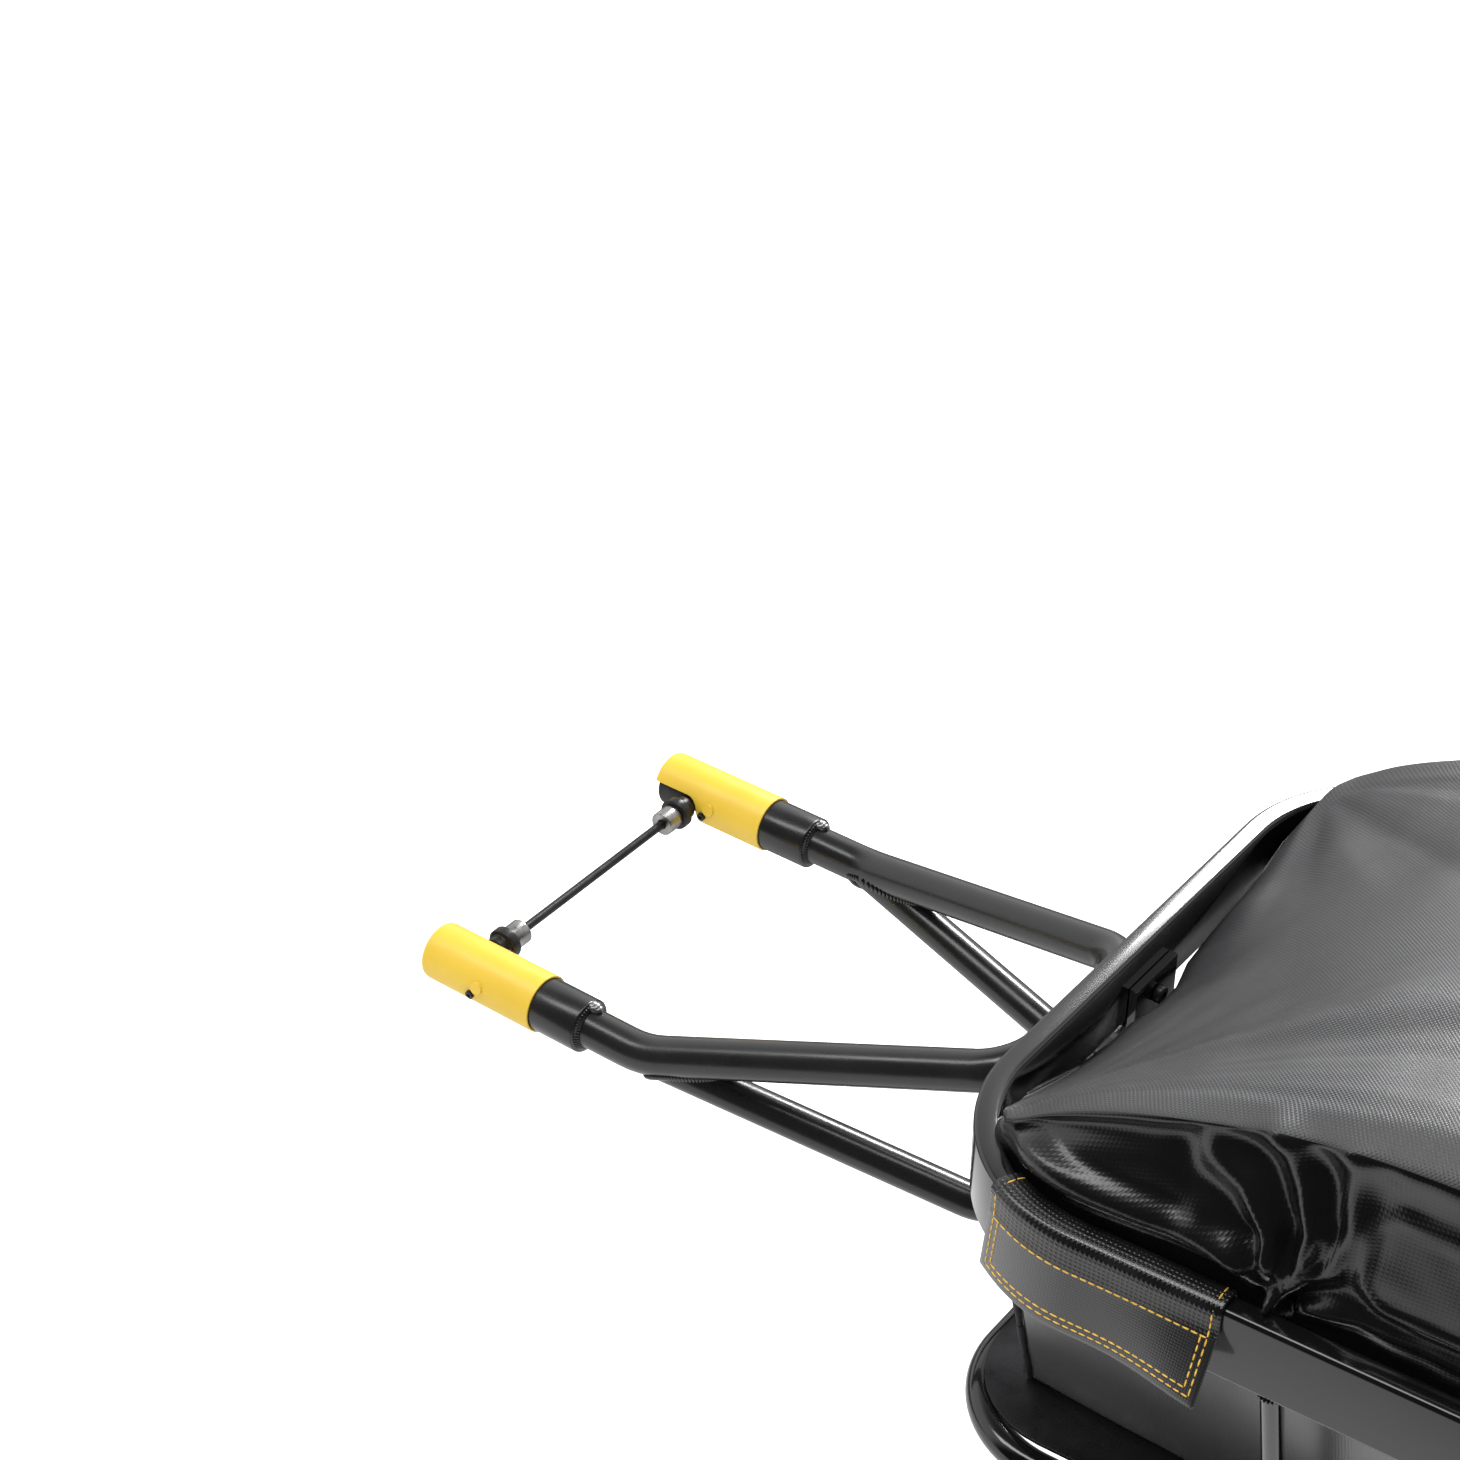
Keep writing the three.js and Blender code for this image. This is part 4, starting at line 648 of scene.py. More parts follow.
def addSpring(label, y):
    # a coil of wire wound to fill the spring part's box
    low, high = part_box(f"sleeve_spring_{label}")
    wire, steps = spring["wire"], spring["turns"] * spring["steps"]
    start, run = low[0] + wire, high[0] - low[0] - 2 * wire
    radius = (high[2] - low[2]) / 2 - wire
    bm = bmesh.new()
    bmesh.ops.create_circle(bm, segments=10, radius=wire, matrix=Matrix.Translation((start, y + radius, 0)))
    first = bm.edges[:]
    last = bmesh.ops.spin(bm, geom=bm.verts[:] + first, cent=(start, y, 0), axis=(1, 0, 0),
                          dvec=(run / steps, 0, 0), angle=2 * math.pi * spring["turns"], steps=steps)["geom_last"]
    bmesh.ops.edgeloop_fill(bm, edges=first)
    bmesh.ops.edgeloop_fill(bm, edges=[item for item in last if isinstance(item, bmesh.types.BMEdge)])
    piece = addPiece(f"sleeveSpring_{label}", bm, "zincSteel", "yoke", [f"sleeve_spring_{label}"],
                     sharp=60)
    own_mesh(piece)


def addHitchAxle():
    rod, peg, start, end = (hitchAxle[key] for key in ("rod", "peg", "pegStart", "pegEnd"))
    profile = [(0, -end), (peg, -end), (peg, -start), (rod, -start), (rod, start), (peg, start), (peg, end), (0, end)]
    bm = newShape(turnProfile, softProfile(profile, 0.001), "y", steps=40)
    addPiece("hitchAxleRod", bm, "blackOxide", "hitch_axle", ["hitch_axle_rod"])
    (low, high), tip, gap = hitchAxle["ring"], hitchAxle["collar"], hitchAxle["gap"]
    ring, bore, collar, nut = (hitchAxle[key] for key in ("ringRadius", "ringBore", "collarRadius", "nutRadius"))
    inner, nutLow, nutHigh = rod + gap, hitchAxle["nutStart"], low - gap
    for side, label in sides:
        profile = [(bore, low), (ring, low), (ring, high), (collar, high), (collar, tip), (bore, tip)]
        bm = turnRing(side, profile, 0.0013, 64)
        addPiece(f"hitchAxleRing_{label}", bm, "blackOxide", "hitch_axle", [f"hitch_axle_nut_{label}"])
        bm = turnRing(side, [(inner, nutLow), (nut, nutLow), (nut, nutHigh), (inner, nutHigh)], 0.001, 48)
        addPiece(f"hitchAxleNut_{label}", bm, "zincSteel", "hitch_axle", sharp=30, bevel=0.0004)
    print("hitch done")


# Yoke

yoke = {"tube": 0.0127, "start": 0.0942, "bend": (0.138, 0.117, 0), "bridge": (0.367, 0.063, 0.072),
        "bends": (0.07, 0.034), "brace": 0.0111, "braceStart": (0.129, 0.117, 0),
        "braceBridge": (0.3686, 0.067, -0.036), "weldSize": 0.0032, "weldSteps": 90,
        "endWeld": (0.0134, 0.0031, 0.0019), "blob": (0.0962, 0.0035, 0.0143)}
# each drop of weld metal: its place from the blob's, and its radius
weldDrops = ((0, 0, 0.0042), (0.0021, -0.0006, 0.0036), (-0.0016, 0.0008, 0.0033))
head = {"x": 0.395, "radius": 0.015, "bore": 0.012, "low": -0.05, "high": 0.086, "weld": 0.0022, "weldSteps": 17,
        "weldPlaces": (0.072, -0.036), "weldSpread": 0.0118, "weldArc": (110, 140)}
bush = {"bore": 0.0063, "radius": 0.0147, "thick": 0.0015, "gap": 0.0003}
bracket = {"front": 0.4104, "rear": 0.4153, "half": 0.022, "low": -0.094, "high": 0.128, "lugs": (0.0881, -0.0571),
           "lugRear": 0.411, "lugReach": 0.0151, "lugThick": 0.005, "hole": 0.0062}
kingPin = {"radius": 0.006, "top": 0.0998, "head": 0.0095, "headLow": -0.0634, "headTop": -0.0574,
           "nut": (0.0934, 0.0999), "nutRadius": 0.0099, "nutHole": 0.0062}
bracketBolt = {"upper": 0.114, "lower": -0.079, "radius": 0.0029, "front": 0.4041, "headRadius": 0.0054,
               "head": (0.4156, 0.4206), "socket": 0.0026, "socketFloor": 0.418}


def mirrored(points):
    # left end first, then the right end
    right = [Vector(point) for point in points]
    left = [Vector((point.x, -point.y, point.z)) for point in right]
    return left + right[::-1]


def addYoke():
    upper = [(yoke["start"], hitch["halfSpan"], 0), yoke["bend"], yoke["bridge"]]
    first, corner = yoke["bends"]
    bm = newShape(bendTube, mirrored(upper), [first, corner, corner, first], yoke["tube"], 56)
    addPiece("yokeUpperTube", bm, "satinPaint", "yoke", ["yoke_upper_tube"])
    bm = newShape(bendTube, mirrored([yoke["braceStart"], yoke["braceBridge"]]), [corner, corner], yoke["brace"], 48)
    addPiece("yokeLowerTube", bm, "satinPaint", "yoke", ["yoke_lower_tube"])

    for side, label in sides:
        centre = Vector((0, side * hitch["halfSpan"], 0))
        bm = newShape(weldRing, centre + Vector((yoke["start"] + 0.0002, 0, 0)), (1, 0, 0), *yoke["endWeld"])
        foot, tip, elbow, bridge = (Vector(yoke[key]) for key in ("braceStart", "braceBridge", "bend", "bridge"))
        brace, arm = (tip - foot).normalized(), (bridge - elbow).normalized()
        for bar in (foot, elbow, brace, arm):
            bar.y *= side
        steps = yoke["weldSteps"]
        points = [meetPoint(foot, brace, elbow, arm, 2 * math.pi * i / steps) for i in range(steps)]
        for i, (point, out) in enumerate(points):
            along = points[(i + 1) % steps][0] - points[i - 1][0]
            weldScale(bm, point, along, out, yoke["weldSize"])
        addPiece(f"yokeWeld_{label}", bm, "glossPaint", "yoke", sharp=80)
        bm = bmesh.new()
        for along, up, size in weldDrops:
            place = Matrix.Translation(centre + Vector(yoke["blob"]) + Vector((along, 0, up)))
            bmesh.ops.create_icosphere(bm, subdivisions=3, radius=size,
                                       matrix=place @ Matrix.Diagonal((1, 1.1, 0.62, 1)))
        addPiece(f"weldBlob_{label}", bm, "weldMetal", "yoke", sharp=80)
    print("yoke done")


def meetPoint(braceFoot, brace, armFoot, arm, turn):
    # where a line of the brace's surface leaves the arm's surface
    side = brace.orthogonal().normalized()
    out = Matrix.Rotation(turn, 3, brace) @ side
    foot = braceFoot + out * yoke["brace"] - armFoot
    flatFoot, flatBrace = foot - arm * foot.dot(arm), brace - arm * brace.dot(arm)
    a, b = flatBrace.length_squared, 2 * flatFoot.dot(flatBrace)
    c = flatFoot.length_squared - yoke["tube"] ** 2
    reach = (-b + math.sqrt(max(0, b * b - 4 * a * c))) / (2 * a)
    point = armFoot + foot + brace * reach
    armOut = (flatFoot + flatBrace * reach).normalized()
    return point, (armOut + out).normalized()


def addSteering():
    x, radius, bore, low, high = (head[key] for key in ("x", "radius", "bore", "low", "high"))
    profile = softProfile([(bore, low), (radius, low), (radius, high), (bore, high)], 0.0008, closed=True)
    bm = newShape(turnProfile, profile, "z", (x, 0, 0), 56, True)
    addPiece("steeringHead", bm, "satinPaint", "yoke", ["steering_head_tube"])
    bm = bmesh.new()
    steps, (start, sweep) = head["weldSteps"], head["weldArc"]
    for z in head["weldPlaces"]:
        for i in range(steps):
            angle = math.radians(start + sweep * i / (steps - 1))
            out = Vector((math.cos(angle), math.sin(angle), 0))
            lift = head["weldSpread"] * (1 - abs(i - (steps - 1) / 2) / 40)  # the two rows close up at their ends
            for row in (-lift, lift):
                weldScale(bm, Vector((x, 0, z + row)) + out * radius, (-out.y, out.x, 0), out, head["weld"])
    addPiece("headWelds", bm, "satinPaint", "yoke", sharp=80)
    bore, radius, thick, gap = bush["bore"], bush["radius"], bush["thick"], bush["gap"]
    for node, low in (("upper", head["high"] + gap), ("lower", head["low"] - gap - thick)):
        profile = [(bore, low), (radius, low), (radius, low + thick), (bore, low + thick)]
        bm = newShape(turnProfile, softProfile(profile, 0.0005, closed=True), "z", (x, 0, 0), 48, True)
        addPiece(f"headBush_{node}", bm, "guardPlastic", "yoke", [f"head_bush_{node}"])

    half, lugRear = bracket["half"], bracket["lugRear"]
    bm = newShape(boxShape, (bracket["front"], -half, bracket["low"]), (bracket["rear"], half, bracket["high"]))
    turns = [math.radians(90 + 180 * i / 24) for i in range(25)]
    for low in bracket["lugs"]:
        arc = [(x + bracket["lugReach"] * math.cos(turn), half * math.sin(turn), low) for turn in turns]
        plateShape(bm, [(lugRear, -half, low), (lugRear, half, low), *arc], (0, 0, bracket["lugThick"]))
    hole = newShape(rodShape, (x, 0, -0.06), (x, 0, 0.1), bracket["hole"], 32)
    addPiece("pivotBracket", carve(bm, [hole]), "glossPaint", "basket", ["pivot_bracket"],
             sharp=40, bevel=0.0008)

    radius, top, wide, low, high = (kingPin[key] for key in ("radius", "top", "head", "headLow", "headTop"))
    profile = [(0, low), (wide, low), (wide, high), (radius, high), (radius, top), (0, top)]
    bm = newShape(turnProfile, softProfile(profile, 0.0009), "z", (x, 0, 0), 40)
    addPiece("kingPin", bm, "zincSteel", "basket", ["king_pin"])
    low, high = kingPin["nut"]
    bm = newShape(rodShape, (x, 0, low), (x, 0, high), kingPin["nutRadius"], 6)
    hole = newShape(rodShape, (x, 0, 0.09), (x, 0, 0.11), kingPin["nutHole"], 32)
    addPiece("kingPinNut", carve(bm, [hole]), "zincSteel", "basket", ["king_pin_nut"],
             sharp=30, bevel=0.0008)
    (low, high), wide = bracketBolt["head"], bracketBolt["headRadius"]
    for label in ("upper", "lower"):
        z = bracketBolt[label]
        bm = newShape(rodShape, (bracketBolt["front"], 0, z), (low + 0.0002, 0, z), bracketBolt["radius"])
        turnProfile(bm, softProfile([(0, low), (wide, low), (wide, high), (0, high)], 0.0012), "x", (0, 0, z), 36)
        socket = newShape(rodShape, (bracketBolt["socketFloor"], 0, z), (0.43, 0, z), bracketBolt["socket"], 6)
        addPiece(f"bracketBolt_{label}", carve(bm, [socket]), "blackOxide", "basket",
                 [f"bracket_bolt_{label}"], sharp=30)
    print("steering done")


# Basket

rim = {"front": 0.396, "rear": 1.045, "frontHalf": 0.234, "rearHalf": 0.197, "low": 0.104, "high": 0.149,
       "thick": 0.014, "frontBend": 0.1, "rearBend": 0.07, "edge": 0.0027}
rail = {"radius": 0.0095, "z": -0.079, "front": 0.4005, "frontHalf": 0.187, "frontBend": 0.065,
        "waist": 1.01, "waistHalf": 0.15, "waistBend": 0.09, "end": (1.2497, 0.0525, -0.117), "straight": 0.024,
        "endBend": 0.06, "cross": 0.985, "crossInset": 0.004, "crossWeld": 0.0052}
strut = {"radius": 0.006, "places": (0.6102, 0.7724, 0.9347), "weld": 0.0019, "weldPitch": 0.0018,
         "topSeat": 0.001, "topWeld": 0.0014, "footSeat": 0.004, "footWeld": 0.0062}
floorPlate = {"low": -0.0692, "thick": 0.0025, "edge": 0.0004, "clear": 0.0003, "notch": (0.4156, 0.0223),
              "slot": (0.07, 0.04), "pitch": (0.09, 0.082), "rows": 6, "columns": 3, "middle": 0.7003}


def rimHalf(x):
    share = (x - rim["front"]) / (rim["rear"] - rim["front"])
    return rim["frontHalf"] + (rim["rearHalf"] - rim["frontHalf"]) * share


def railHalf(x):
    share = (x - rail["front"]) / (rail["waist"] - rail["front"])
    return rail["frontHalf"] + (rail["waistHalf"] - rail["frontHalf"]) * share


def addRim():
    half = rim["thick"] / 2
    front, rear = rim["front"] + half, rim["rear"] - half
    middle = (rim["low"] + rim["high"]) / 2
    frontY, rearY = rimHalf(front) - half, rimHalf(rear) - half
    points = [Vector(point) for point in (
        (front, 0, middle), (front, -frontY, middle), (rear, -rearY, middle), (rear, rearY, middle),
        (front, frontY, middle), (front, 0, middle))]
    bm = bmesh.new()
    high = (rim["high"] - rim["low"]) / 2
    corners = [bm.verts.new((front + x * half, 0, middle + z * high)) for x, z in ((-1, -1), (1, -1), (1, 1), (-1, 1))]
    bm.faces.new(corners)
    bmesh.ops.bevel(bm, geom=corners, offset=rim["edge"], offset_type="OFFSET", affect="VERTICES", segments=7,
                    profile=0.5, material=-1)
    bmesh.ops.delete(bm, geom=bm.faces[:], context="FACES_ONLY")
    bends = [rim["frontBend"] - half, rim["rearBend"] - half, rim["rearBend"] - half, rim["frontBend"] - half]
    sweepRing(bm, bm.edges[:], points, bends, 3)
    bmesh.ops.remove_doubles(bm, verts=bm.verts, dist=2e-5)
    addPiece("rimRail", bm, "glossPaint", "basket", ["rim_rail"], sharp=50)


def addRails():
    radius, z = rail["radius"], rail["z"]
    endX, endY, endZ = rail["end"]
    right = [(endX, endY, endZ), (endX - rail["straight"], endY, endZ), (rail["waist"], rail["waistHalf"], z),
             (rail["front"], rail["frontHalf"], z)]
    bends = [rail[key] for key in ("endBend", "waistBend", "frontBend")]
    bm = newShape(bendTube, mirrored(right), bends + bends[::-1], radius)
    addPiece("lowerRail", bm, "glossPaint", "basket", ["lower_rail"], sharp=60)
    cross, reach = rail["cross"], railHalf(rail["cross"]) - rail["crossInset"]
    bm = newShape(rodShape, (cross, -reach, z), (cross, reach, z), radius - 0.0003, 40)
    for side in (-1, 1):
        weldRing(bm, (cross, side * (reach - rail["crossWeld"]), z), (0, 1, 0), radius - 0.0005, 0.0023, 0.0022)
    addPiece("rearCrossTube", bm, "glossPaint", "basket", ["rear_cross_tube"], sharp=60)
    weld = (strut["radius"], strut["weld"], strut["weldPitch"])
    for place, x in zip(("front", "middle", "rear"), strut["places"]):
        for side, label in sides:
            top = Vector((x, side * (rimHalf(x) - rim["thick"] / 2), rim["low"] + strut["topSeat"]))
            foot = Vector((x, side * railHalf(x), z + strut["footSeat"]))
            lean = (top - foot).normalized()
            bm = newShape(rodShape, foot, top, strut["radius"], 36)
            weldRing(bm, top - Vector((0, 0, strut["topWeld"])), (0, 0, 1), *weld)
            weldRing(bm, foot + lean * strut["footWeld"], lean, *weld)
            addPiece(f"strut_{place}_{label}", bm, "glossPaint", "basket",
                     [f"strut_{place}_{label}"], sharp=60)


def outlineMesh(name, outlines, thick, edge):
    # the first outline is the plate, and the others are holes in it
    flat = bpy.data.curves.new(name, "CURVE")
    flat.dimensions = "2D"
    flat.fill_mode = "BOTH"
    flat.extrude = thick / 2 - edge
    flat.bevel_depth = edge
    flat.offset = -edge
    flat.bevel_resolution = 1
    for outline in outlines:
        spline = flat.splines.new("POLY")
        spline.points.add(len(outline) - 1)
        for point, (x, y) in zip(spline.points, outline):
            point.co = (x, y, 0, 1)
        spline.use_cyclic_u = True
    holder = bpy.data.objects.new(name, flat)
    scene.collection.objects.link(holder)
    bm = bmesh.new()
    bm.from_mesh(holder.evaluated_get(bpy.context.evaluated_depsgraph_get()).to_mesh())
    bpy.data.objects.remove(holder)
    bpy.data.curves.remove(flat)
    return bm


def roundOutline(corners, radii, steps=8):
    # a flat polygon with round corners
    outline = []
    total = len(corners)
    for i, radius in enumerate(radii):
        here = Vector(corners[i])
        back, ahead = Vector(corners[i - 1]) - here, Vector(corners[(i + 1) % total]) - here
        if radius == 0:
            outline.append(tuple(here))
            continue
        half = back.angle(ahead) / 2
        reach = radius / math.tan(half)
        start, end = here + back.normalized() * reach, here + ahead.normalized() * reach
        centre = here + (back.normalized() + ahead.normalized()).normalized() * radius / math.sin(half)
        first, last = start - centre, end - centre
        sweep = first.angle_signed(last)
        for k in range(steps + 1):
            turn = -sweep * k / steps
            outline.append((centre.x + first.x * math.cos(turn) - first.y * math.sin(turn),
                            centre.y + first.x * math.sin(turn) + first.y * math.cos(turn)))
    return outline


def addFloorPlate():
    clear = strut["radius"] + floorPlate["clear"]
    front, rear = rail["front"], rail["cross"]
    frontY, rearY = railHalf(front) - clear, railHalf(rear) - clear
    notchX, notchY = floorPlate["notch"]
    corner = rail["frontBend"] - clear
    plate = [(front, -frontY), (rear, -rearY), (rear, rearY), (front, frontY), (front, notchY), (notchX, notchY),
             (notchX, -notchY), (front, -notchY)]
    outlines = [roundOutline(plate, [corner, 0, 0, corner, 0, 0, 0, 0], 10)]
    length, width = (size / 2 for size in floorPlate["slot"])
    pitchX, pitchY = floorPlate["pitch"]
    for row in range(floorPlate["rows"]):
        for column in range(floorPlate["columns"]):
            x = floorPlate["middle"] + (row - (floorPlate["rows"] - 1) / 2) * pitchX
            y = (column - (floorPlate["columns"] - 1) / 2) * pitchY
            slot = [(x - length, y - width), (x + length, y - width), (x + length, y + width), (x - length, y + width)]
            outlines.append(roundOutline(slot, [width * 0.98] * 4))
    bm = outlineMesh("floorPlate", outlines, floorPlate["thick"], floorPlate["edge"])
    bmesh.ops.translate(bm, verts=bm.verts, vec=(0, 0, floorPlate["low"] + floorPlate["thick"] / 2))
    addPiece("floorPanel", bm, "wheelAlloy", "basket", ["floor_panel"], sharp=30)


# Rear end

rearEnd = {"inner": 0.0505, "thick": 0.004, "edge": 0.0005, "front": 1.25, "rear": 1.302, "top": -0.1,
           "low": -0.14, "cut": 0.012, "topRear": 0.025, "slot": 0.0051, "stayRadius": 0.00795,
           "stayStart": 0.105, "stayRun": 0.052, "stayEnd": 1.263, "stayDrop": 0.034, "stayBend": 0.07,
           "seat": 0.0003}
# stay and rail: how many weld scales are in a row, how far before the joint it starts, their step and their size
rearWelds = {"stay": (12, 0.0078, 0.0014, 0.0016), "rail": (14, 0.0088, 0.00136, 0.0017), "off": 0.0024,
             "sway": 0.0006, "ringPlace": 0.0014, "ring": (0.0023, 0.002)}
wheel = {"x": 1.28, "z": -0.125, "tyreOuter": 0.2, "tyreHalf": 0.0235, "beadSeat": 0.153, "rimHalf": 0.0125,
         "rimInner": 0.14, "lip": 0.159, "wall": 0.002, "well": 0.006, "spokes": 20, "spoke": 0.00115,
         "lacing": 22, "tipHalf": 0.003, "tipInset": 0.006}


def addRearEnd():
    top, low, front, rear, cut, slot = (rearEnd[key] for key in ("top", "low", "front", "rear", "cut", "slot"))
    x, z = wheel["x"], wheel["z"]
    arc = [(x + slot * math.cos(turn), z + slot * math.sin(turn)) for turn in (math.pi * k / 12 for k in range(13))]
    outline = [(front, top), (front, low + cut), (front + cut, low), (x - slot, low), *arc[::-1], (x + slot, low),
               (rear - cut, low), (rear, low + cut), (rear, top - cut), (front + rearEnd["topRear"], top)]
    middle = rearEnd["inner"] + rearEnd["thick"] / 2
    height = (rim["low"] + rim["high"]) / 2
    start, end, foot = rim["rear"] + rearEnd["seat"], rearEnd["stayEnd"], top + rearEnd["seat"]
    radius = rearEnd["stayRadius"]
    for side, label in sides:
        bm = outlineMesh("dropout", [outline], rearEnd["thick"], rearEnd["edge"])
        bmesh.ops.rotate(bm, verts=bm.verts, cent=(0, 0, 0), matrix=Matrix.Rotation(math.pi / 2, 3, "X"))
        bmesh.ops.translate(bm, verts=bm.verts, vec=(0, side * middle, 0))
        addPiece(f"dropout_{label}", bm, "glossPaint", "basket", [f"dropout_{label}"], sharp=30)
        y = side * rearEnd["stayStart"]
        bm = newShape(bendTube, [(start, y, height), (start + rearEnd["stayRun"], y, height),
                                 (end, side * middle, foot + rearEnd["stayDrop"]), (end, side * middle, foot)],
                      [rearEnd["stayBend"]] * 2, radius, 36)
        weldRing(bm, (start + rearWelds["ringPlace"], y, height), (1, 0, 0), radius, *rearWelds["ring"])
        count, before, step, size = rearWelds["stay"]
        for out in (-1, 1):
            for k in range(count):
                place = (end - before + k * step, side * middle + out * rearWelds["off"], top)
                weldScale(bm, place, (1, 0, 0), (0, out, 1), size)
        addPiece(f"upperStay_{label}", bm, "glossPaint", "basket", [f"upper_stay_{label}"], sharp=60)
        bm = bmesh.new()
        count, below, step, size = rearWelds["rail"]
        for out in (-1, 1):
            for k in range(count):
                place = (front - 0.0004 + rearWelds["sway"] * (k % 2), side * middle + out * rearWelds["off"],
                         rail["end"][2] - below + k * step)
                weldScale(bm, place, (0, 0, 1), (-0.4, out, 0), size)
        addPiece(f"dropoutWeld_{label}", bm, "glossPaint", "basket", sharp=80)
    print("rear end done")


# Wheel

# each row of tread: its place across the tyre, and its blocks' width, length as a share of the pitch, and skew
tread = {"blocks": 60, "depth": 0.0021, "height": 0.0042, "ribs": (46, 52), "rib": 0.0005, "arch": 142,
         "rows": ((-0.0165, 0.0062, 0.34, -0.2), (0, 0.0075, 0.5, 0.35), (0.0165, 0.0062, 0.34, 0.2))}
bead = {"inset": 0.0023, "gap": 0.0003}
nipple = {"reach": 0.0085, "radius": 0.0021, "tip": 0.0017, "washer": 0.0032}
valve = {"angle": 209, "length": 0.034, "radius": 0.003, "tip": 0.0027, "nut": (0.0005, 0.0035, 0.0052),
         "cap": (0.001, 0.008, 0.0041, 0.0034)}
hub = {"radius": 0.0153, "half": 0.0359, "bore": 0.0124, "waist": 0.0125, "flange": 0.0275, "flangeRadius": 0.0248,
       "flangeHalf": 0.0012, "rootOut": 0.0014, "rootIn": 0.0018, "taper": 0.012, "holeInset": 0.0028, "elbow": 0.0019}
bearing = {"bore": 0.0051, "radius": 0.012, "low": 0.0277, "high": 0.0357, "seal": (0.0066, 0.0104), "drop": 0.0006}
axle = {"bore": 0.0028, "radius": 0.00475, "collar": 0.008, "tip": 0.0542, "shoulder": 0.0502, "spacer": 0.0363}
skewer = {"rod": 0.0025, "end": 0.0658, "cam": 0.01, "camInner": 0.0548, "camOuter": 0.0678,
          "fork": (0.0056, 0.0062), "forkDepth": 0.0038}
skewerNut = {"bore": 0.0028, "radius": 0.009, "shoulder": 0.0612, "tip": 0.0655, "tipRadius": 0.0066}
lever = {"y": -0.0751, "boss": 0.007, "start": 0.001, "length": 0.052, "half": 0.0055, "blade": (-0.0069, -0.0024),
         "inset": 0.0002, "cuts": 13, "bow": 0.0026, "narrow": 0.25}


def wheelPlace(bm):
    bmesh.ops.translate(bm, verts=bm.verts, vec=(wheel["x"], 0, wheel["z"]))
    return bm


def spokeWay(k):
    # the way out from the hub to a spoke's end at the rim, and the side of the wheel that its foot is on
    turn = 2 * math.pi * k / wheel["spokes"]
    return Vector((math.cos(turn), 0, math.sin(turn))), (1 if k % 2 else -1)


def addTyre():
    outer, half, lip = wheel["tyreOuter"] - tread["depth"], wheel["tyreHalf"], wheel["lip"]
    centre = (outer + lip) / 2
    crown = outer - centre
    foot, seat = wheel["rimHalf"] - bead["inset"], wheel["beadSeat"] + bead["gap"]
    turns = [math.radians(tread["arch"] * (k / 14 - 1)) for k in range(29)]
    profile = [(seat, -foot), (lip, -foot)]
    profile += [(centre + crown * math.cos(turn), half * math.sin(turn)) for turn in turns]
    profile += [(lip, foot), (seat, foot)]
    bm = newShape(turnProfile, profile, "y", steps=120, closed=True)
    for side in (-1, 1):
        for angle in tread["ribs"]:
            turn = math.radians(angle)
            radius, y, rise = centre + crown * math.cos(turn), side * half * math.sin(turn), tread["rib"]
            rib = [(radius - 0.8 * rise, y - 1.2 * rise), (radius + rise, y - 0.8 * rise),
                   (radius + rise, y + 0.8 * rise), (radius - 0.8 * rise, y + 1.2 * rise)]
            turnProfile(bm, rib, "y", steps=120, closed=True)
    pitch = 2 * math.pi / tread["blocks"]
    for row, (y, width, share, skew) in enumerate(tread["rows"]):
        lean = Matrix.Rotation(math.asin(y / half), 4, "Z")
        block = Matrix.Diagonal((tread["height"], width, pitch * wheel["tyreOuter"] * share, 1))
        block = Matrix.Translation((crown, 0, 0)) @ Matrix.Rotation(skew, 4, "X") @ block
        for k in range(tread["blocks"]):
            turn = pitch * (k + 0.5 * (row % 2))
            stamp(bm, "block", Matrix.Rotation(-turn, 4, "Y") @ Matrix.Translation((centre, 0, 0)) @ lean @ block)
    addPiece("tyre", wheelPlace(bm), "tyreRubber", "wheel", ["tyre"], sharp=40)


def addWheelRim():
    lip, seat, half, inner = wheel["lip"], wheel["beadSeat"], wheel["rimHalf"], wheel["rimInner"]
    shelf, well = half - wheel["wall"], seat - wheel["well"]
    side = [(lip, half), (lip, shelf), (seat, shelf), (seat - wheel["wall"], shelf / 2)]
    profile = side + [(radius, -y) for radius, y in side[::-1]]
    profile += [(well, -half), (inner, -half / 2), (inner, half / 2), (well, half)]
    bm = newShape(turnProfile, softProfile(profile, 0.0009, 3, closed=True), "y", steps=120, closed=True)
    addPiece("wheelRim", wheelPlace(bm), "wheelAlloy", "wheel", ["wheel_rim"], sharp=35)
    bm = bmesh.new()
    for k in range(wheel["spokes"]):
        out, side = spokeWay(k)
        off = Vector((0, side * wheel["tipHalf"], 0))
        start = out * (inner + 0.0004) + off
        rodShape(bm, start, start - out * nipple["reach"], nipple["radius"], 12, nipple["tip"])
        rodShape(bm, out * (inner - 0.0004) + off, out * (inner + 0.001) + off, nipple["washer"], 16)
    addPiece("spokeNipples", wheelPlace(bm), "zincSteel", "wheel", sharp=30)
    turn, end = math.radians(valve["angle"]), inner - valve["length"]
    out = Vector((math.cos(turn), 0, math.sin(turn)))
    bm = newShape(rodShape, out * (inner + 0.001), out * end, valve["radius"], 20, valve["tip"])
    above, below, wide = valve["nut"]
    rodShape(bm, out * (inner + above), out * (inner - below), wide, 6)
    above, below, wide, tip = valve["cap"]
    rodShape(bm, out * (end + above), out * (end - below), wide, 20, tip)
    addPiece("tyreValve", wheelPlace(bm), "guardPlastic", "wheel", sharp=30, bevel=0.0003)


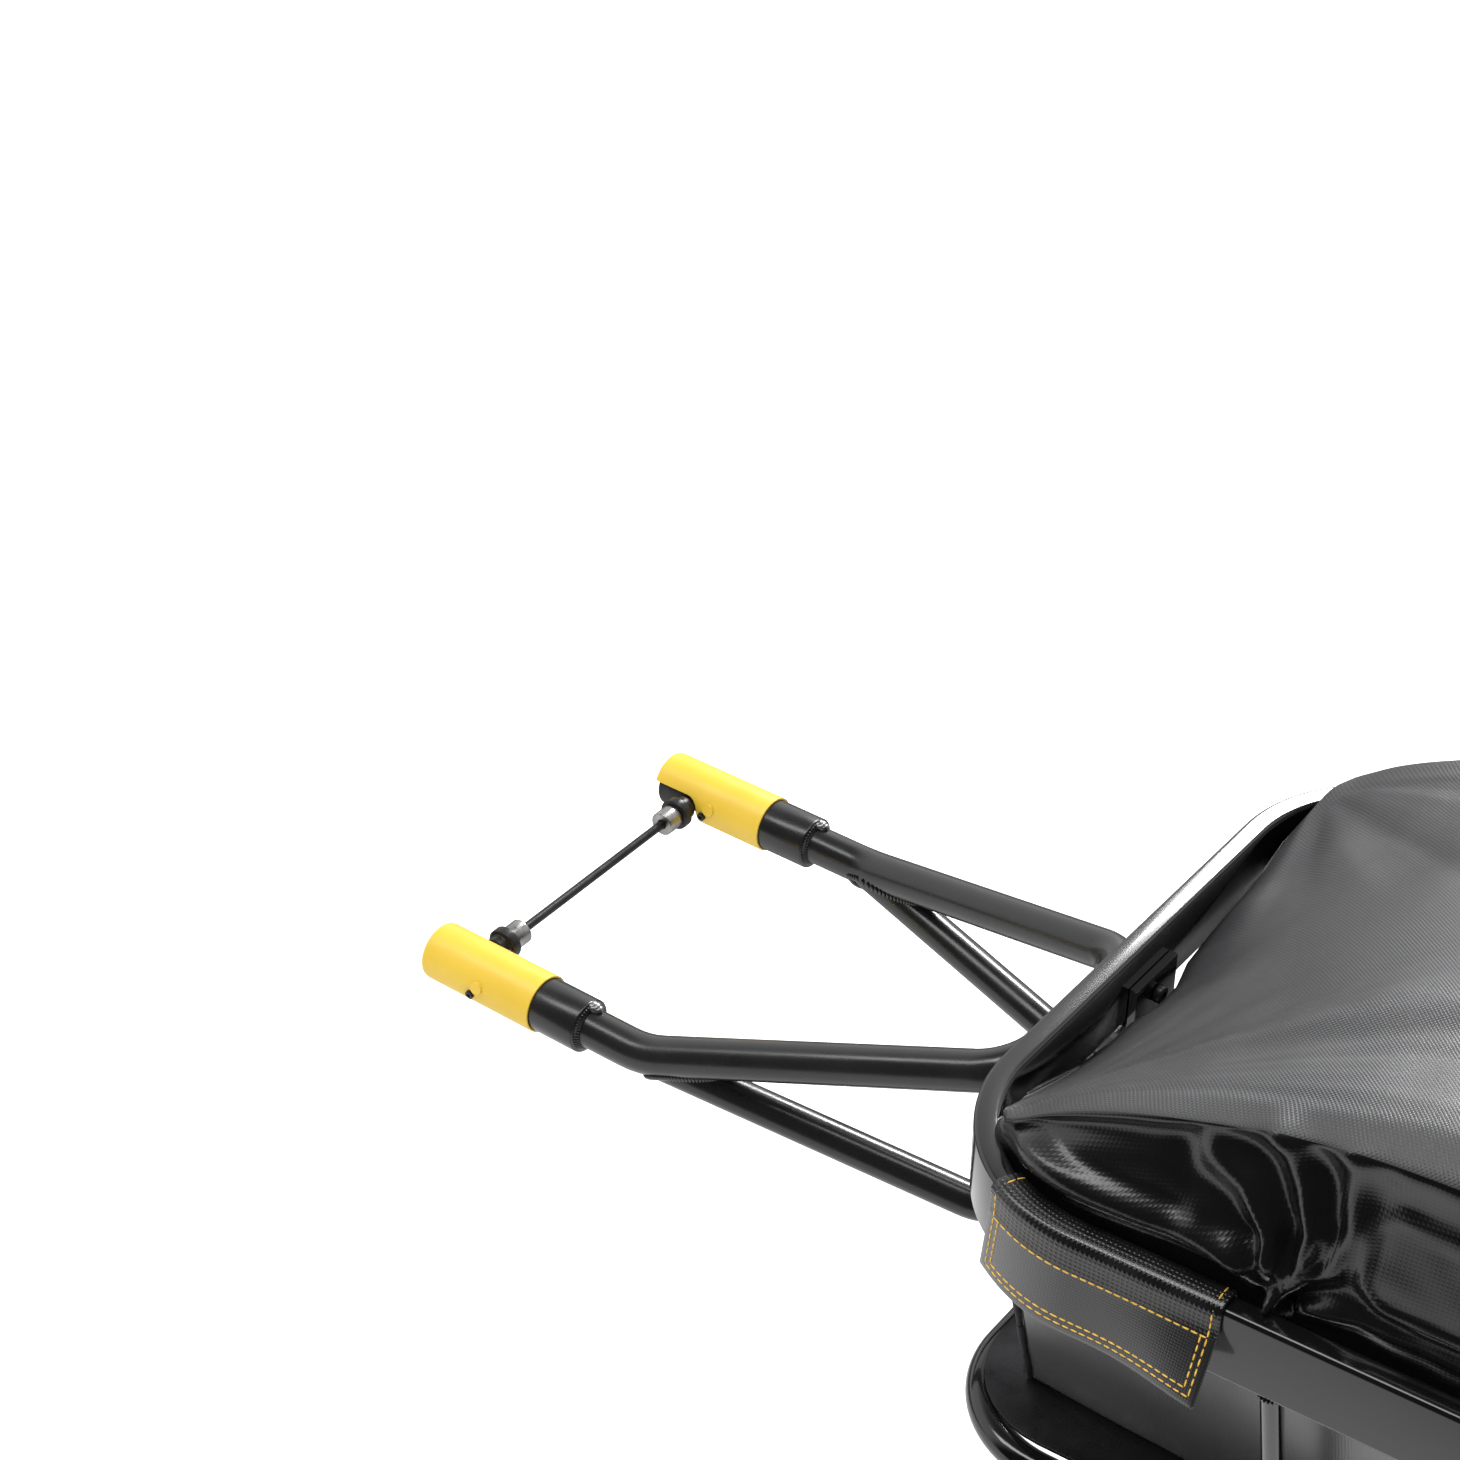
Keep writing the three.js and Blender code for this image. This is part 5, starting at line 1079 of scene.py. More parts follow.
def addHub():
    radius, half, bore, flange, wide, thick = (hub[key] for key in (
        "radius", "half", "bore", "flange", "flangeRadius", "flangeHalf"))
    right = [(hub["waist"], flange - hub["taper"]), (radius, flange - hub["rootIn"]), (wide, flange - thick),
             (wide, flange + thick), (radius, flange + hub["rootOut"]), (radius, half), (bore, half)]
    left = [(reach, -along) for reach, along in right[::-1]]
    bm = newShape(turnProfile, softProfile(left + right, 0.0012), "y", steps=64)
    bmesh.ops.bridge_loops(bm, edges=[edge for edge in bm.edges if edge.is_boundary])
    addPiece("hubShell", wheelPlace(bm), "wheelAlloy", "wheel", ["spoked_hub"], sharp=40)
    bm = bmesh.new()
    hole = wide - hub["holeInset"]
    for k in range(wheel["spokes"]):
        way, side = spokeWay(k)
        lace = Matrix.Rotation(-math.radians(wheel["lacing"]) * (1 if k % 4 < 2 else -1), 3, "Y")
        foot = lace @ way * hole + Vector((0, side * flange, 0))
        tip = way * (wheel["rimInner"] - wheel["tipInset"]) + Vector((0, side * wheel["tipHalf"], 0))
        out = Vector((0, side * hub["elbow"], 0))
        for start, end, swollen, around in ((foot + out, tip, 1, 10), (foot - out, foot + out * 1.4, 1.1, 10),
                                         (foot - out * 1.5, foot - out * 0.9, 1.9, 12)):
            rodShape(bm, start, end, wheel["spoke"] * swollen, around)
    addPiece("spokes", wheelPlace(bm), "polishedAlloy", "wheel", sharp=40)
    bore, radius, low, high = (bearing[key] for key in ("bore", "radius", "low", "high"))
    (inner, outer), floor = bearing["seal"], bearing["high"] - bearing["drop"]
    profile = [(bore, low), (radius, low), (radius, high), (outer + 0.0001, high), (outer, floor), (inner, floor),
               (inner - 0.0001, high), (bore, high)]
    for side, label in sides:
        bm = wheelPlace(turnRing(side, profile, 0.0002, 48, 2))
        addPiece(f"hubBearing_{label}", bm, "zincSteel", "wheel", [f"bearing_{label}"], sharp=30)


def addAxle():
    bore, radius, collar = axle["bore"], axle["radius"], axle["collar"]
    tip, shoulder, spacer = axle["tip"], axle["shoulder"], axle["spacer"]
    right = [(radius, spacer), (collar, spacer), (collar, shoulder), (radius, shoulder), (radius, tip), (bore, tip)]
    left = [(wide, -along) for wide, along in right[::-1]]
    bm = wheelPlace(turnRing(1, left + right, 0.0006, 40, 3))
    addPiece("wheelAxle", bm, "zincSteel", "basket", ["wheel_axle"], sharp=35)
    cam, camIn, camOut = skewer["cam"], skewer["camInner"], skewer["camOuter"]
    rod, end = skewer["rod"], skewer["end"]
    profile = [(0, -camOut), (cam, -camOut), (cam, -camIn), (rod, -camIn), (rod, end), (0, end)]
    bm = newShape(turnProfile, softProfile(profile, 0.0012), "y", steps=48)
    halfX, halfZ = skewer["fork"]
    fork = newShape(boxShape, (-halfX, -0.09, -halfZ), (halfX, skewer["forkDepth"] - camOut, halfZ))
    addPiece("quickSkewer", wheelPlace(carve(bm, [fork])), "polishedAlloy", "basket", ["qr_skewer"],
             sharp=35, bevel=0.0004)
    bore, radius, shoulder, tip, narrow = (skewerNut[key] for key in ("bore", "radius", "shoulder", "tip", "tipRadius"))
    bm = turnRing(1, [(bore, camIn), (radius, camIn), (radius, shoulder), (narrow, tip), (bore, tip)], 0.0008, 24)
    addPiece("quickNut", wheelPlace(bm), "polishedAlloy", "basket", ["qr_nut"], sharp=20, bevel=0.0003)
    length, half, (outer, inner) = lever["length"], lever["half"], lever["blade"]
    inset = half - lever["inset"]
    bm = newShape(boxShape, (lever["start"], outer, -inset), (length, inner, inset))
    runs = [edge for edge in bm.edges if abs(edge.verts[0].co.x - edge.verts[1].co.x) > half]
    bmesh.ops.subdivide_edges(bm, edges=runs, cuts=lever["cuts"], use_grid_fill=True)
    for vert in bm.verts:
        bow = math.sin(math.pi * vert.co.x / length)
        vert.co.y += lever["bow"] * bow
        vert.co.z *= 1 - lever["narrow"] * bow
    rodShape(bm, (0, 0, -half), (0, 0, half), lever["boss"], 40)
    bmesh.ops.translate(bm, verts=bm.verts, vec=(wheel["x"], lever["y"], wheel["z"]))
    addPiece("quickLever", bm, "polishedAlloy", "release_lever", ["qr_lever"],
             sharp=40, bevel=0.0009)
    print("wheel done")


# Mudguard

guard = {"radius": 0.214, "width": 0.058, "crown": 0.008, "thick": 0.0018, "from": -18, "to": 172,
         "stay": 0.0019, "stayEye": 0.0026, "stayGap": 0.0023, "stayAngle": 12, "stayFoot": (1.294, 0.058, -0.121)}
clip = {"low": (-0.009, -0.0016, -0.006), "high": (0.006, 0.0016, 0.006), "in": 0.0008, "screw": 0.0034,
        "screwEnds": (0.003, 0.0026)}
reflector = {"edge": 0.006, "lensEdge": 0.004, "prism": 0.0048, "prismDepth": 0.0016, "margin": 0.004}


def addMudguard():
    radius, wide = guard["radius"], guard["width"]
    bm = bmesh.new()
    verts = []
    for k in range(17):
        share = k / 16 - 0.5
        verts.append(bm.verts.new((radius - guard["crown"] * (2 * share) ** 2, wide * share, 0)))
    edges = [bm.edges.new(pair) for pair in zip(verts, verts[1:])]
    bmesh.ops.rotate(bm, verts=verts, cent=(0, 0, 0), matrix=Matrix.Rotation(-math.radians(guard["from"]), 3, "Y"))
    bmesh.ops.spin(bm, geom=verts + edges, cent=(0, 0, 0), axis=(0, -1, 0),
                   angle=math.radians(guard["to"] - guard["from"]), steps=76)
    bmesh.ops.recalc_face_normals(bm, faces=bm.faces)
    bm.faces.ensure_lookup_table()
    if bm.faces[0].normal.dot(bm.faces[0].calc_center_median()) < 0:
        bmesh.ops.reverse_faces(bm, faces=bm.faces)
    bmesh.ops.solidify(bm, geom=bm.faces[:], thickness=-guard["thick"])
    wheelPlace(bm)
    addPiece("mudguard", bm, "guardPlastic", "basket", ["mudguard"], sharp=50, bevel=0.0004)
    angle = math.radians(guard["stayAngle"])
    footX, footY, footZ = guard["stayFoot"]
    reach = radius - guard["crown"] + guard["thick"] / 2
    inner, outer = clip["screwEnds"]
    for side, label in sides:
        out = Vector((0, side, 0))
        edge = Vector((wheel["x"] + reach * math.cos(angle), 0, wheel["z"] + reach * math.sin(angle)))
        edge += out * (wide / 2 + guard["stayGap"])
        foot = Vector((footX, side * footY, footZ))
        bm = newShape(rodShape, foot, edge, guard["stay"], 20)
        for at in (foot, edge):
            bmesh.ops.create_icosphere(bm, subdivisions=3, radius=guard["stayEye"], matrix=Matrix.Translation(at))
        addPiece(f"guardStay_{label}", bm, "polishedAlloy", "basket", [f"mudguard_stay_{label}"],
                 sharp=50)
        bm = newShape(boxShape, clip["low"], clip["high"])
        turn = Matrix.Translation(edge - out * clip["in"]) @ Matrix.Rotation(-angle, 4, "Y")
        bmesh.ops.transform(bm, matrix=turn, verts=bm.verts)
        rodShape(bm, edge - out * inner, edge + out * outer, clip["screw"], 6)
        addPiece(f"guardClip_{label}", bm, "guardPlastic", "basket", sharp=30, bevel=0.0005)
    low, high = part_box("mudguard_bracket")
    middle = (low.x + high.x) / 2
    slot = newShape(boxShape, (middle - 0.012, -0.0035, low.z - 0.01), (middle + 0.012, 0.0035, high.z + 0.01))
    addPiece("guardBracket", carve(newShape(boxShape, low, high), [slot]), "satinPaint", "basket",
             ["mudguard_bracket"], sharp=30, bevel=0.0012)
    low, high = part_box("reflector_housing")
    bm = roundedBox(low, high, reflector["edge"], 6)
    addPiece("reflectorHousing", bm, "guardPlastic", "basket", ["reflector_housing"],
             sharp=30, bevel=0.0008)
    low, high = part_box("reflector_lens")
    bm = roundedBox(low, high, reflector["lensEdge"], 5)
    size, margin = reflector["prism"], reflector["margin"]
    rows, columns = int((high.z - low.z - margin) / size), int((high.y - low.y - margin) / size)
    for row in range(rows):
        for column in range(columns):
            y = (column - (columns - 1) / 2) * size
            z = (low.z + high.z) / 2 + (row - (rows - 1) / 2) * size
            place = Matrix.Translation((high.x + 0.0001, y, z)) @ Matrix.Rotation(math.pi / 2, 4, "Y")
            bmesh.ops.create_cone(bm, cap_ends=False, segments=6, radius1=size * 0.55, radius2=0,
                                  depth=reflector["prismDepth"], matrix=place)
    addPiece("reflectorLens", bm, "reflectorPlastic", "basket", ["reflector_lens"], sharp=15)
    print("mudguard done")


# Dry bag

bag = {"front": 0.424, "footX": 0.431, "rear": 1.024, "low": 0.113, "high": 0.272, "floor": -0.0658, "gap": 0.023,
       "frontBend": 0.066, "rearBend": 0.06, "foldHalf": 0.18, "foldInset": 0.007, "sideStep": 0.01,
       "hipDrop": 0.024, "foot": 0.1436, "waist": 0.1743, "belly": 0.058, "footTurn": 0.27, "foldTurn": 0.52,
       "around": 164, "along": 168, "corner": 26, "end": 14, "endMiddle": 0.04, "brow": 0.0075,
       "browWidth": 0.035, "forward": 0.0066, "bolt": 0.012, "hem": 0.0017, "hemAngle": 34}
# how far the cloth stands out: waves all over, gathers that fan over the top from a foot by the front corner, the
# pull at that corner, the hollow under the fold, and the crumple of the sides and of the part below them
relief = {"wave": 0.0016, "fan": 0.0045, "fanFoot": (0.42, 0.178), "fanRun": 0.1, "fanHalf": 0.07, "broad": 0.002,
          "fine": 0.0008, "corner": 0.0055, "cornerPlace": (0.431, 0.181, 0.148), "cornerWidth": 0.013,
          "scoop": 0.0045, "scoopRise": 0.3, "scoopTurn": 0.482, "scoopWidth": 0.022, "scoopEnd": 0.58,
          "crumple": 0.0005, "crumpleStart": 0.56, "below": 0.002, "shift": 0.012, "end": 0.001}
# a patch sewn on the bag's side: its middle, half its length and height, its corners, and its rise and seam
patch = {"middle": (0.679, 0.197), "half": (0.045, 0.031), "corner": 0.02, "rise": 0.0011, "step": 0.0008,
         "seam": 0.0021, "seamIn": 0.004, "seamWidth": 0.0024}
# each place along the bag, and how high the fold at its side and its middle rise there
bagShares = [(0, 0.157, 0), (0.008, 0.226, 0.038), (0.022, 0.296, 0.1), (0.04, 0.365, 0.182), (0.068, 0.453, 0.308),
             (0.11, 0.553, 0.472), (0.16, 0.642, 0.623), (0.227, 0.742, 0.774), (0.31, 0.836, 0.893),
             (0.41, 0.893, 0.969), (0.527, 0.918, 1), (0.643, 0.925, 0.994), (0.743, 0.912, 0.969),
             (0.827, 0.887, 0.918), (0.9, 0.811, 0.83), (0.94, 0.711, 0.723), (0.973, 0.56, 0.566),
             (0.992, 0.434, 0.434), (1, 0.333, 0.327)]
# folds on the bag's side: the places they run through, along and up, how far they stand out, and their width
bagFolds = [([(0.598, 0.15), (0.596, 0.165), (0.588, 0.186), (0.572, 0.203), (0.553, 0.21)], 0.0085, 0.0075),
            ([(0.6, 0.151), (0.608, 0.172), (0.611, 0.194), (0.602, 0.217), (0.58, 0.241)], 0.0095, 0.0075),
            ([(0.597, 0.15), (0.578, 0.163), (0.556, 0.176)], 0.006, 0.009),
            ([(0.602, 0.151), (0.622, 0.178), (0.629, 0.205), (0.622, 0.243)], 0.005, 0.007),
            ([(0.61, 0.15), (0.64, 0.158), (0.7, 0.155)], 0.004, 0.008),
            ([(0.73, 0.15), (0.745, 0.185), (0.75, 0.24)], 0.006, 0.011),
            ([(0.79, 0.15), (0.78, 0.19), (0.8, 0.245)], 0.007, 0.01),
            ([(0.8, 0.15), (0.83, 0.175), (0.84, 0.225)], 0.006, 0.009),
            ([(0.878, 0.148), (0.885, 0.19), (0.87, 0.24)], 0.007, 0.01),
            ([(0.885, 0.148), (0.915, 0.18), (0.952, 0.235)], 0.008, 0.009),
            ([(0.98, 0.14), (0.965, 0.18), (0.955, 0.23)], 0.006, 0.009)]
bagSeam = ([(0.434, 0.159), (0.455, 0.1625), (0.5, 0.163), (0.53, 0.165), (0.56, 0.166), (0.59, 0.168),
            (0.61, 0.17)], 0.0085, 0.0135)


def mix(a, b, share):
    return a + (b - a) * share


def held(value):
    # between nothing and all of it
    return max(0, min(1, value))


def swell(away, width):
    # one in the middle, and soft to nothing within about twice the width
    return math.exp(-(away / width) ** 2)


def cloud(*place):
    return noise.noise(Vector(place))


def runThrough(knots, t):
    # a smooth run through rows that each hold a place and the values there
    i = max(0, min(len(knots) - 2, sum(row[0] <= t for row in knots) - 1))
    before, a, b, after = knots[max(0, i - 1)], knots[i], knots[i + 1], knots[min(len(knots) - 1, i + 2)]
    span = b[0] - a[0]
    s = (t - a[0]) / span
    spot = []
    for k in range(1, len(a)):
        out = (b[k] - before[k]) / (b[0] - before[0]) * span
        back = (after[k] - a[k]) / (after[0] - a[0]) * span
        spot.append((2 * s ** 3 - 3 * s ** 2 + 1) * a[k] + (s ** 3 - 2 * s ** 2 + s) * out +
                    (3 * s ** 2 - 2 * s ** 3) * b[k] + (s ** 3 - s ** 2) * back)
    return spot


def bagHalf(x):
    # the bag's half width at the rim, less where its corners are round
    half = rimHalf(x) - bag["gap"]
    for bend, ahead in ((bag["frontBend"], x - bag["front"]), (bag["rearBend"], bag["rear"] - x)):
        arm = min(bend, max(0, bend - ahead))
        half -= bend - math.sqrt(bend ** 2 - arm ** 2)
    return half


def bagRing(x):
    # from the middle of the bottom up the side to the middle of the top: width, height and girth from the top
    fold, middle = (mix(bag["low"], bag["high"], share)
                    for share in runThrough(bagShares, (x - bag["front"]) / (bag["rear"] - bag["front"])))
    half, floor = bagHalf(x), bag["floor"]
    side = min(rim["high"], fold - bag["sideStep"])
    foldY = min(bag["foldHalf"], half - bag["foldInset"])
    foot, waist = min(half, bag["foot"]), min(half, bag["waist"])
    # each knot is a share of the way up and over, and the half width and the height there
    knots = [(-0.08, 0.012 - foot, floor), (0, 0, floor), (0.08, foot - 0.012, floor), (0.11, foot, floor + 0.012),
             (0.2, waist, bag["belly"]), (0.27, half, side - bag["hipDrop"]), (0.32, half, side),
             (0.42, mix(half, foldY, 0.2), mix(side, fold, 0.4)), (bag["foldTurn"], foldY, fold),
             (0.74, foldY * 0.6, mix(fold, middle, 0.65)), (1, 0, middle),
             (1.26, -foldY * 0.6, mix(fold, middle, 0.65))]
    spots = [runThrough(knots, k / bag["around"]) for k in range(bag["around"] + 1)]
    girth, ring = 0, []
    for here, above in zip(spots[::-1], [spots[-1]] + spots[:0:-1]):
        girth += math.dist(here, above)
        ring.append((*here, girth))
    return ring[::-1]


def bagRows():
    # places along the bag, with the share of the ring that the rows of its flat ends keep
    front, rear = bag["front"], bag["rear"]
    turns = [math.pi / 2 * k / bag["corner"] for k in range(bag["corner"])]
    rows = [(front, k / bag["end"]) for k in range(bag["end"])]
    rows += [(front + bag["frontBend"] * (1 - math.cos(turn)), 1) for turn in turns]
    start, end = front + bag["frontBend"], rear - bag["rearBend"]
    rows += [(mix(start, end, k / bag["along"]), 1) for k in range(bag["along"] + 1)]
    rows += [(rear - bag["rearBend"] * (1 - math.cos(turn)), 1) for turn in turns[::-1]]
    return rows + [(rear, 1 - (k + 1) / bag["end"]) for k in range(bag["end"])]


def nearRun(x, z, points):
    # how far a place is from a run of points, and how far along the run it is
    best, at = 1.0, 0.0
    for i, ((x0, z0), (x1, z1)) in enumerate(zip(points, points[1:])):
        lineX, lineZ = x1 - x0, z1 - z0
        t = held(((x - x0) * lineX + (z - z0) * lineZ) / (lineX ** 2 + lineZ ** 2))
        near = math.hypot(x - x0 - lineX * t, z - z0 - lineZ * t)
        if near < best:
            best, at = near, (i + t) / (len(points) - 1)
    return best, at


def sideRelief(x, z):
    amount = 0
    for points, height, width in bagFolds:
        near, at = nearRun(x, z, points)
        spread = width * (0.45 + 0.75 * at)
        if near < 4 * spread:
            rise = height * (0.55 + 0.45 * math.sin(math.pi * min(1, at + 0.25)))
            amount += rise * (swell(near, spread) - 0.4 * swell(near - 1.9 * spread, spread))
    points, height, width = bagSeam
    near, at = nearRun(x, z, points)
    fade = min(1, at * 6, (1 - at) * 4.5)
    amount += height * fade * (0.5 + 0.5 * math.cos(math.pi * min(1, near / width)))
    (middleX, middleZ), (halfX, halfZ), corner = patch["middle"], patch["half"], patch["corner"]
    acrossX, acrossZ = max(0, abs(x - middleX) - halfX + corner), max(0, abs(z - middleZ) - halfZ + corner)
    edge = math.hypot(acrossX, acrossZ) - corner
    amount += patch["rise"] / (1 + math.exp(edge / patch["step"]))
    return amount + patch["seam"] * swell(edge + patch["seamIn"], patch["seamWidth"])


def bagRelief(place, turn, side, fold):
    # how far the cloth stands out from its even shape
    x, y, z = place
    amount = relief["wave"] * cloud(x * 8, y * 8, z * 8)
    top = held((turn - bag["foldTurn"]) / 0.06)
    if top:
        fanX, fanY = relief["fanFoot"]
        reach = max(0.001, math.hypot(x - fanX, fanY - abs(y)))
        wide = math.atan2(max(0, fanY - abs(y)), x - fanX)
        fan = cloud(wide * 4.6, reach * 2.4, side * 4.0 + 1.7) + 0.22 * cloud(wide * 13, reach * 5, side)
        fan *= min(1, reach / relief["fanRun"]) * min(1, abs(y) / relief["fanHalf"]) ** 2
        amount += top * (relief["fan"] * fan + relief["broad"] * cloud(x * 7, y * 9, 5))
        amount += top * relief["fine"] * cloud(x * 30, y * 15, 2)
    apex = (Vector((x, abs(y), z)) - Vector(relief["cornerPlace"])).length
    amount += relief["corner"] * swell(apex, relief["cornerWidth"])
    scoop = min(relief["scoop"], max(0, relief["scoopRise"] * (fold - rim["high"])))
    scoop *= max(0.3, min(1, 1 - (x - relief["scoopEnd"]) * 8))
    amount -= scoop * swell(turn - relief["scoopTurn"], relief["scoopWidth"])
    sideways = held((turn - bag["footTurn"]) / 0.05) * held((bag["foldTurn"] + 0.04 - turn) / 0.06)
    if sideways:
        # the right side's folds lie a little off the left side's
        amount += sideways * sideRelief(x if side < 0 else x + relief["shift"] * math.sin(x * 9), z)
        crumple = held((x - relief["crumpleStart"]) / 0.05) * cloud(x * 60, y * 20, z * 60)
        amount += sideways * relief["crumple"] * crumple
    if turn < 0.3:
        amount += relief["below"] * cloud(x * 14, y * 6, z * 5) * held((turn - 0.1) / 0.05)
    return amount


def addBag():
    rows, around = bagRows(), bag["around"]
    rings = {x: bagRing(x) for x, share in rows}
    lastRow, front, frontBend = len(rows) - 1, bag["front"], bag["frontBend"]
    bm = newShape(bmesh.ops.create_grid, x_segments=lastRow, y_segments=2 * around, size=1)
    uv = bm.loops.layers.uv.new("UVMap")
    spots = {}
    for v in bm.verts:
        x, share = rows[round((v.co.x + 1) / 2 * lastRow)]
        k = round((v.co.y + 1) * around)
        side = -1 if k < around else 1
        turn = min(k, 2 * around - k) / around
        y, z, girth = rings[x][round(turn * around)]
        spots[v] = (x, side, turn, share, girth)
        ahead = 1 - (x - front) / frontBend  # how far into the front bend: one at the very front
        brow = min(bag["brow"], max(0, 0.5 * (z - rim["high"]))) * swell(turn - bag["foldTurn"], bag["browWidth"])
        if ahead > 0 and turn < bag["footTurn"]:
            x += (bag["footX"] - front) * ahead * min(1, (bag["footTurn"] - turn) / 0.07)
        y, z = (y + brow) * share, mix(bag["endMiddle"], z, share)
        if x < front + frontBend:
            # the front edge bulges over the rim's inside, less where the bracket's bolt is
            ahead = min(1, 1 - (x - front) / frontBend)
            x -= bag["forward"] * ahead * held((z - 0.08) / 0.03) * mix(0.35, 1, held((y - bag["bolt"]) / 0.02))
        v.co = (x, side * y, z)
    for face in bm.faces:
        flat = any(spots[v][3] < 1 for v in face.verts)
        for loop in face.loops:
            x, side, turn, share, girth = spots[loop.vert]
            loop[uv].uv = (loop.vert.co.y, loop.vert.co.z) if flat else (x, side * girth)
        turn = sum(spots[v][2] for v in face.verts) / 4
        # the top takes the lighter matte cloth and the side the near-black gloss cloth, partly painted light and
        # painted shade; below the rim the lighter coated cloth is a painted reflection of the floor
        face.material_index = 2 if turn < bag["footTurn"] and not flat else 1 if flat or turn < bag["foldTurn"] else 0
        face.smooth = True
    bmesh.ops.recalc_face_normals(bm, faces=bm.faces)
    bm.normal_update()
    moves = []
    for v in bm.verts:
        x, side, turn, share, girth = spots[v]
        if v.co.z > bag["floor"] + 0.002:
            fold = rings[x][round(bag["foldTurn"] * around)][1]
            amount = bagRelief(v.co, turn, side, fold) if share == 1 else relief["end"] * share * cloud(*v.co * 20)
            moves.append((v, v.normal * amount))
    for v, move in moves:
        v.co += move
    bmesh.ops.remove_doubles(bm, verts=bm.verts, dist=1e-5)
    piece = placeMesh("bagBody", bm, "matteCloth", "glossCloth", "coatedClothPaintedReflection")
    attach(piece, "basket")
    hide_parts("bag_body")
    for side, label in sides:
        bm = bmesh.new()
        for end, bend, way in (("front", "frontBend", 1), ("rear", "rearBend", -1)):
            x = bag[end] + way * bag[bend] * (1 - math.cos(math.radians(bag["hemAngle"])))
            ring = bagRing(x)[round(0.1 * around):round(0.33 * around):2]
            run = [Vector((x, side * (y + 0.0004), z)) for y, z, girth in ring]
            for i, (low, high) in enumerate(zip(run, run[1:])):
                rodShape(bm, low, high + (high - low) * 0.2, bag["hem"] + 0.0004 * (i % 2), 10)
        addPiece(f"bagBinding_{label}", bm, "strapWeb", "basket", sharp=60)
    print("bag body done")


flap = {"thick": 0.0021, "fold": 0.003, "crease": 0.0009, "front": (0.451, 0.583), "rear": (0.836, 0.967),
        "low": 0.0955, "top": 0.1497, "inner": -0.0076, "innerLow": 0.1245, "out": 0.0078, "band": 0.0155,
        "stitchIn": 0.0045, "stitchGap": 0.0034, "stitchLength": 0.0034, "thread": 0.0005, "hinge": 0.1415,
        "bend": 0.012, "lean": (7, 29), "rearLean": (3, 10), "steps": 44}


def flapSection():
    # up the rim's inner face, over its top and down its outer face: distance out from the rim's middle line, and height
    inner, out, top, low, fold, crease = (flap[key] for key in ("inner", "out", "top", "low", "fold", "crease"))
    points = [(inner, mix(flap["innerLow"], top - fold, k / 5)) for k in range(6)]
    points += [(inner + crease, top - crease), (inner + fold, top)]
    points += [(mix(inner + fold, out - fold, k / 4), top + 0.0004 * math.sin(math.pi * k / 4)) for k in range(1, 5)]
    points += [(out - crease, top - crease), (out, top - fold)]
    return points + [(out, mix(top - fold, low, k / 14)) for k in range(1, 15)]


def flapHang(share, out, z, side, lean):
    # the outer face leans away from the rim below its hinge, more toward the flap's rear end
    down = flap["hinge"] - z
    if out < 0 or down < 0:
        return out, z
    lean = math.radians(mix(*lean, share ** 2.4))
    curl = down ** 2 / 2 / flap["bend"] if down < flap["bend"] else down - flap["bend"] / 2
    ripple = 0.03 * down * math.sin(share * 9 + side)
    return out + math.sin(lean) * curl + ripple, z + (1 - math.cos(lean)) * curl


def rimLine(x):
    # a place on the rim's middle line and the way out from it, on the right side
    half = rim["thick"] / 2
    slope = (rim["rearHalf"] - rim["frontHalf"]) / (rim["rear"] - rim["front"])
    out = Vector((-slope, 1, 0)).normalized()
    bend = rim["frontBend"] - half
    front = rim["front"] + half
    reach = bend * math.tan((math.pi - math.atan2(out.y, out.x)) / 2)
    centre = Vector((front + bend, rimHalf(front) - half / out.y + slope * reach - bend, 0))
    tangent = centre + out * bend
    if x >= tangent.x:
        return Vector((x, tangent.y + slope * (x - tangent.x), 0)), out
    turn = math.acos(max(-1, min(1, (x - centre.x) / bend)))
    out = Vector((math.cos(turn), math.sin(turn), 0))
    return centre + out * bend, out


def flapPoint(place, outward, height, side):
    spot, out = rimLine(place)
    spot = spot + out * outward
    return Vector((spot.x, side * spot.y, height))


def addFlap(name, node, span, side, lean):
    section = flapSection()
    bm = newShape(bmesh.ops.create_grid, x_segments=flap["steps"], y_segments=len(section) - 1, size=1)
    uv = bm.loops.layers.uv.new("UVMap")
    lengths = [0]
    for a, b in zip(section, section[1:]):
        lengths.append(lengths[-1] + math.dist(a, b))
    low, high = span
    where = {}
    for v in bm.verts:
        share, row = (v.co.x + 1) / 2, round((v.co.y + 1) / 2 * (len(section) - 1))
        out, z = flapHang(share, *section[row], side, lean)
        v.co = flapPoint(mix(low, high, share), out, z, side)
        where[v] = (share * (high - low), lengths[row])
    for face in bm.faces:
        for loop in face.loops:
            loop[uv].uv = where[loop.vert]
        face.smooth = True
        face.material_index = int(sum(where[v][1] for v in face.verts) / 4 > lengths[13] + flap["band"] - 0.002)
    bm.normal_update()
    sample = max(bm.faces, key=lambda face: abs(face.normal.y) - face.calc_center_median().z)
    if sample.normal.y * side < 0:
        bmesh.ops.reverse_faces(bm, faces=bm.faces)
    piece = placeMesh(name, bm, "stripCloth", "satinCloth")
    wall = piece.modifiers.new("wall", "SOLIDIFY")
    wall.thickness = flap["thick"]
    wall.offset = 1
    addBevel(piece, 0.0006, 50)
    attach(piece, "basket")
    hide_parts(node)
    threads = addStitches(f"{name}Thread", section, lengths, span, side, lean)


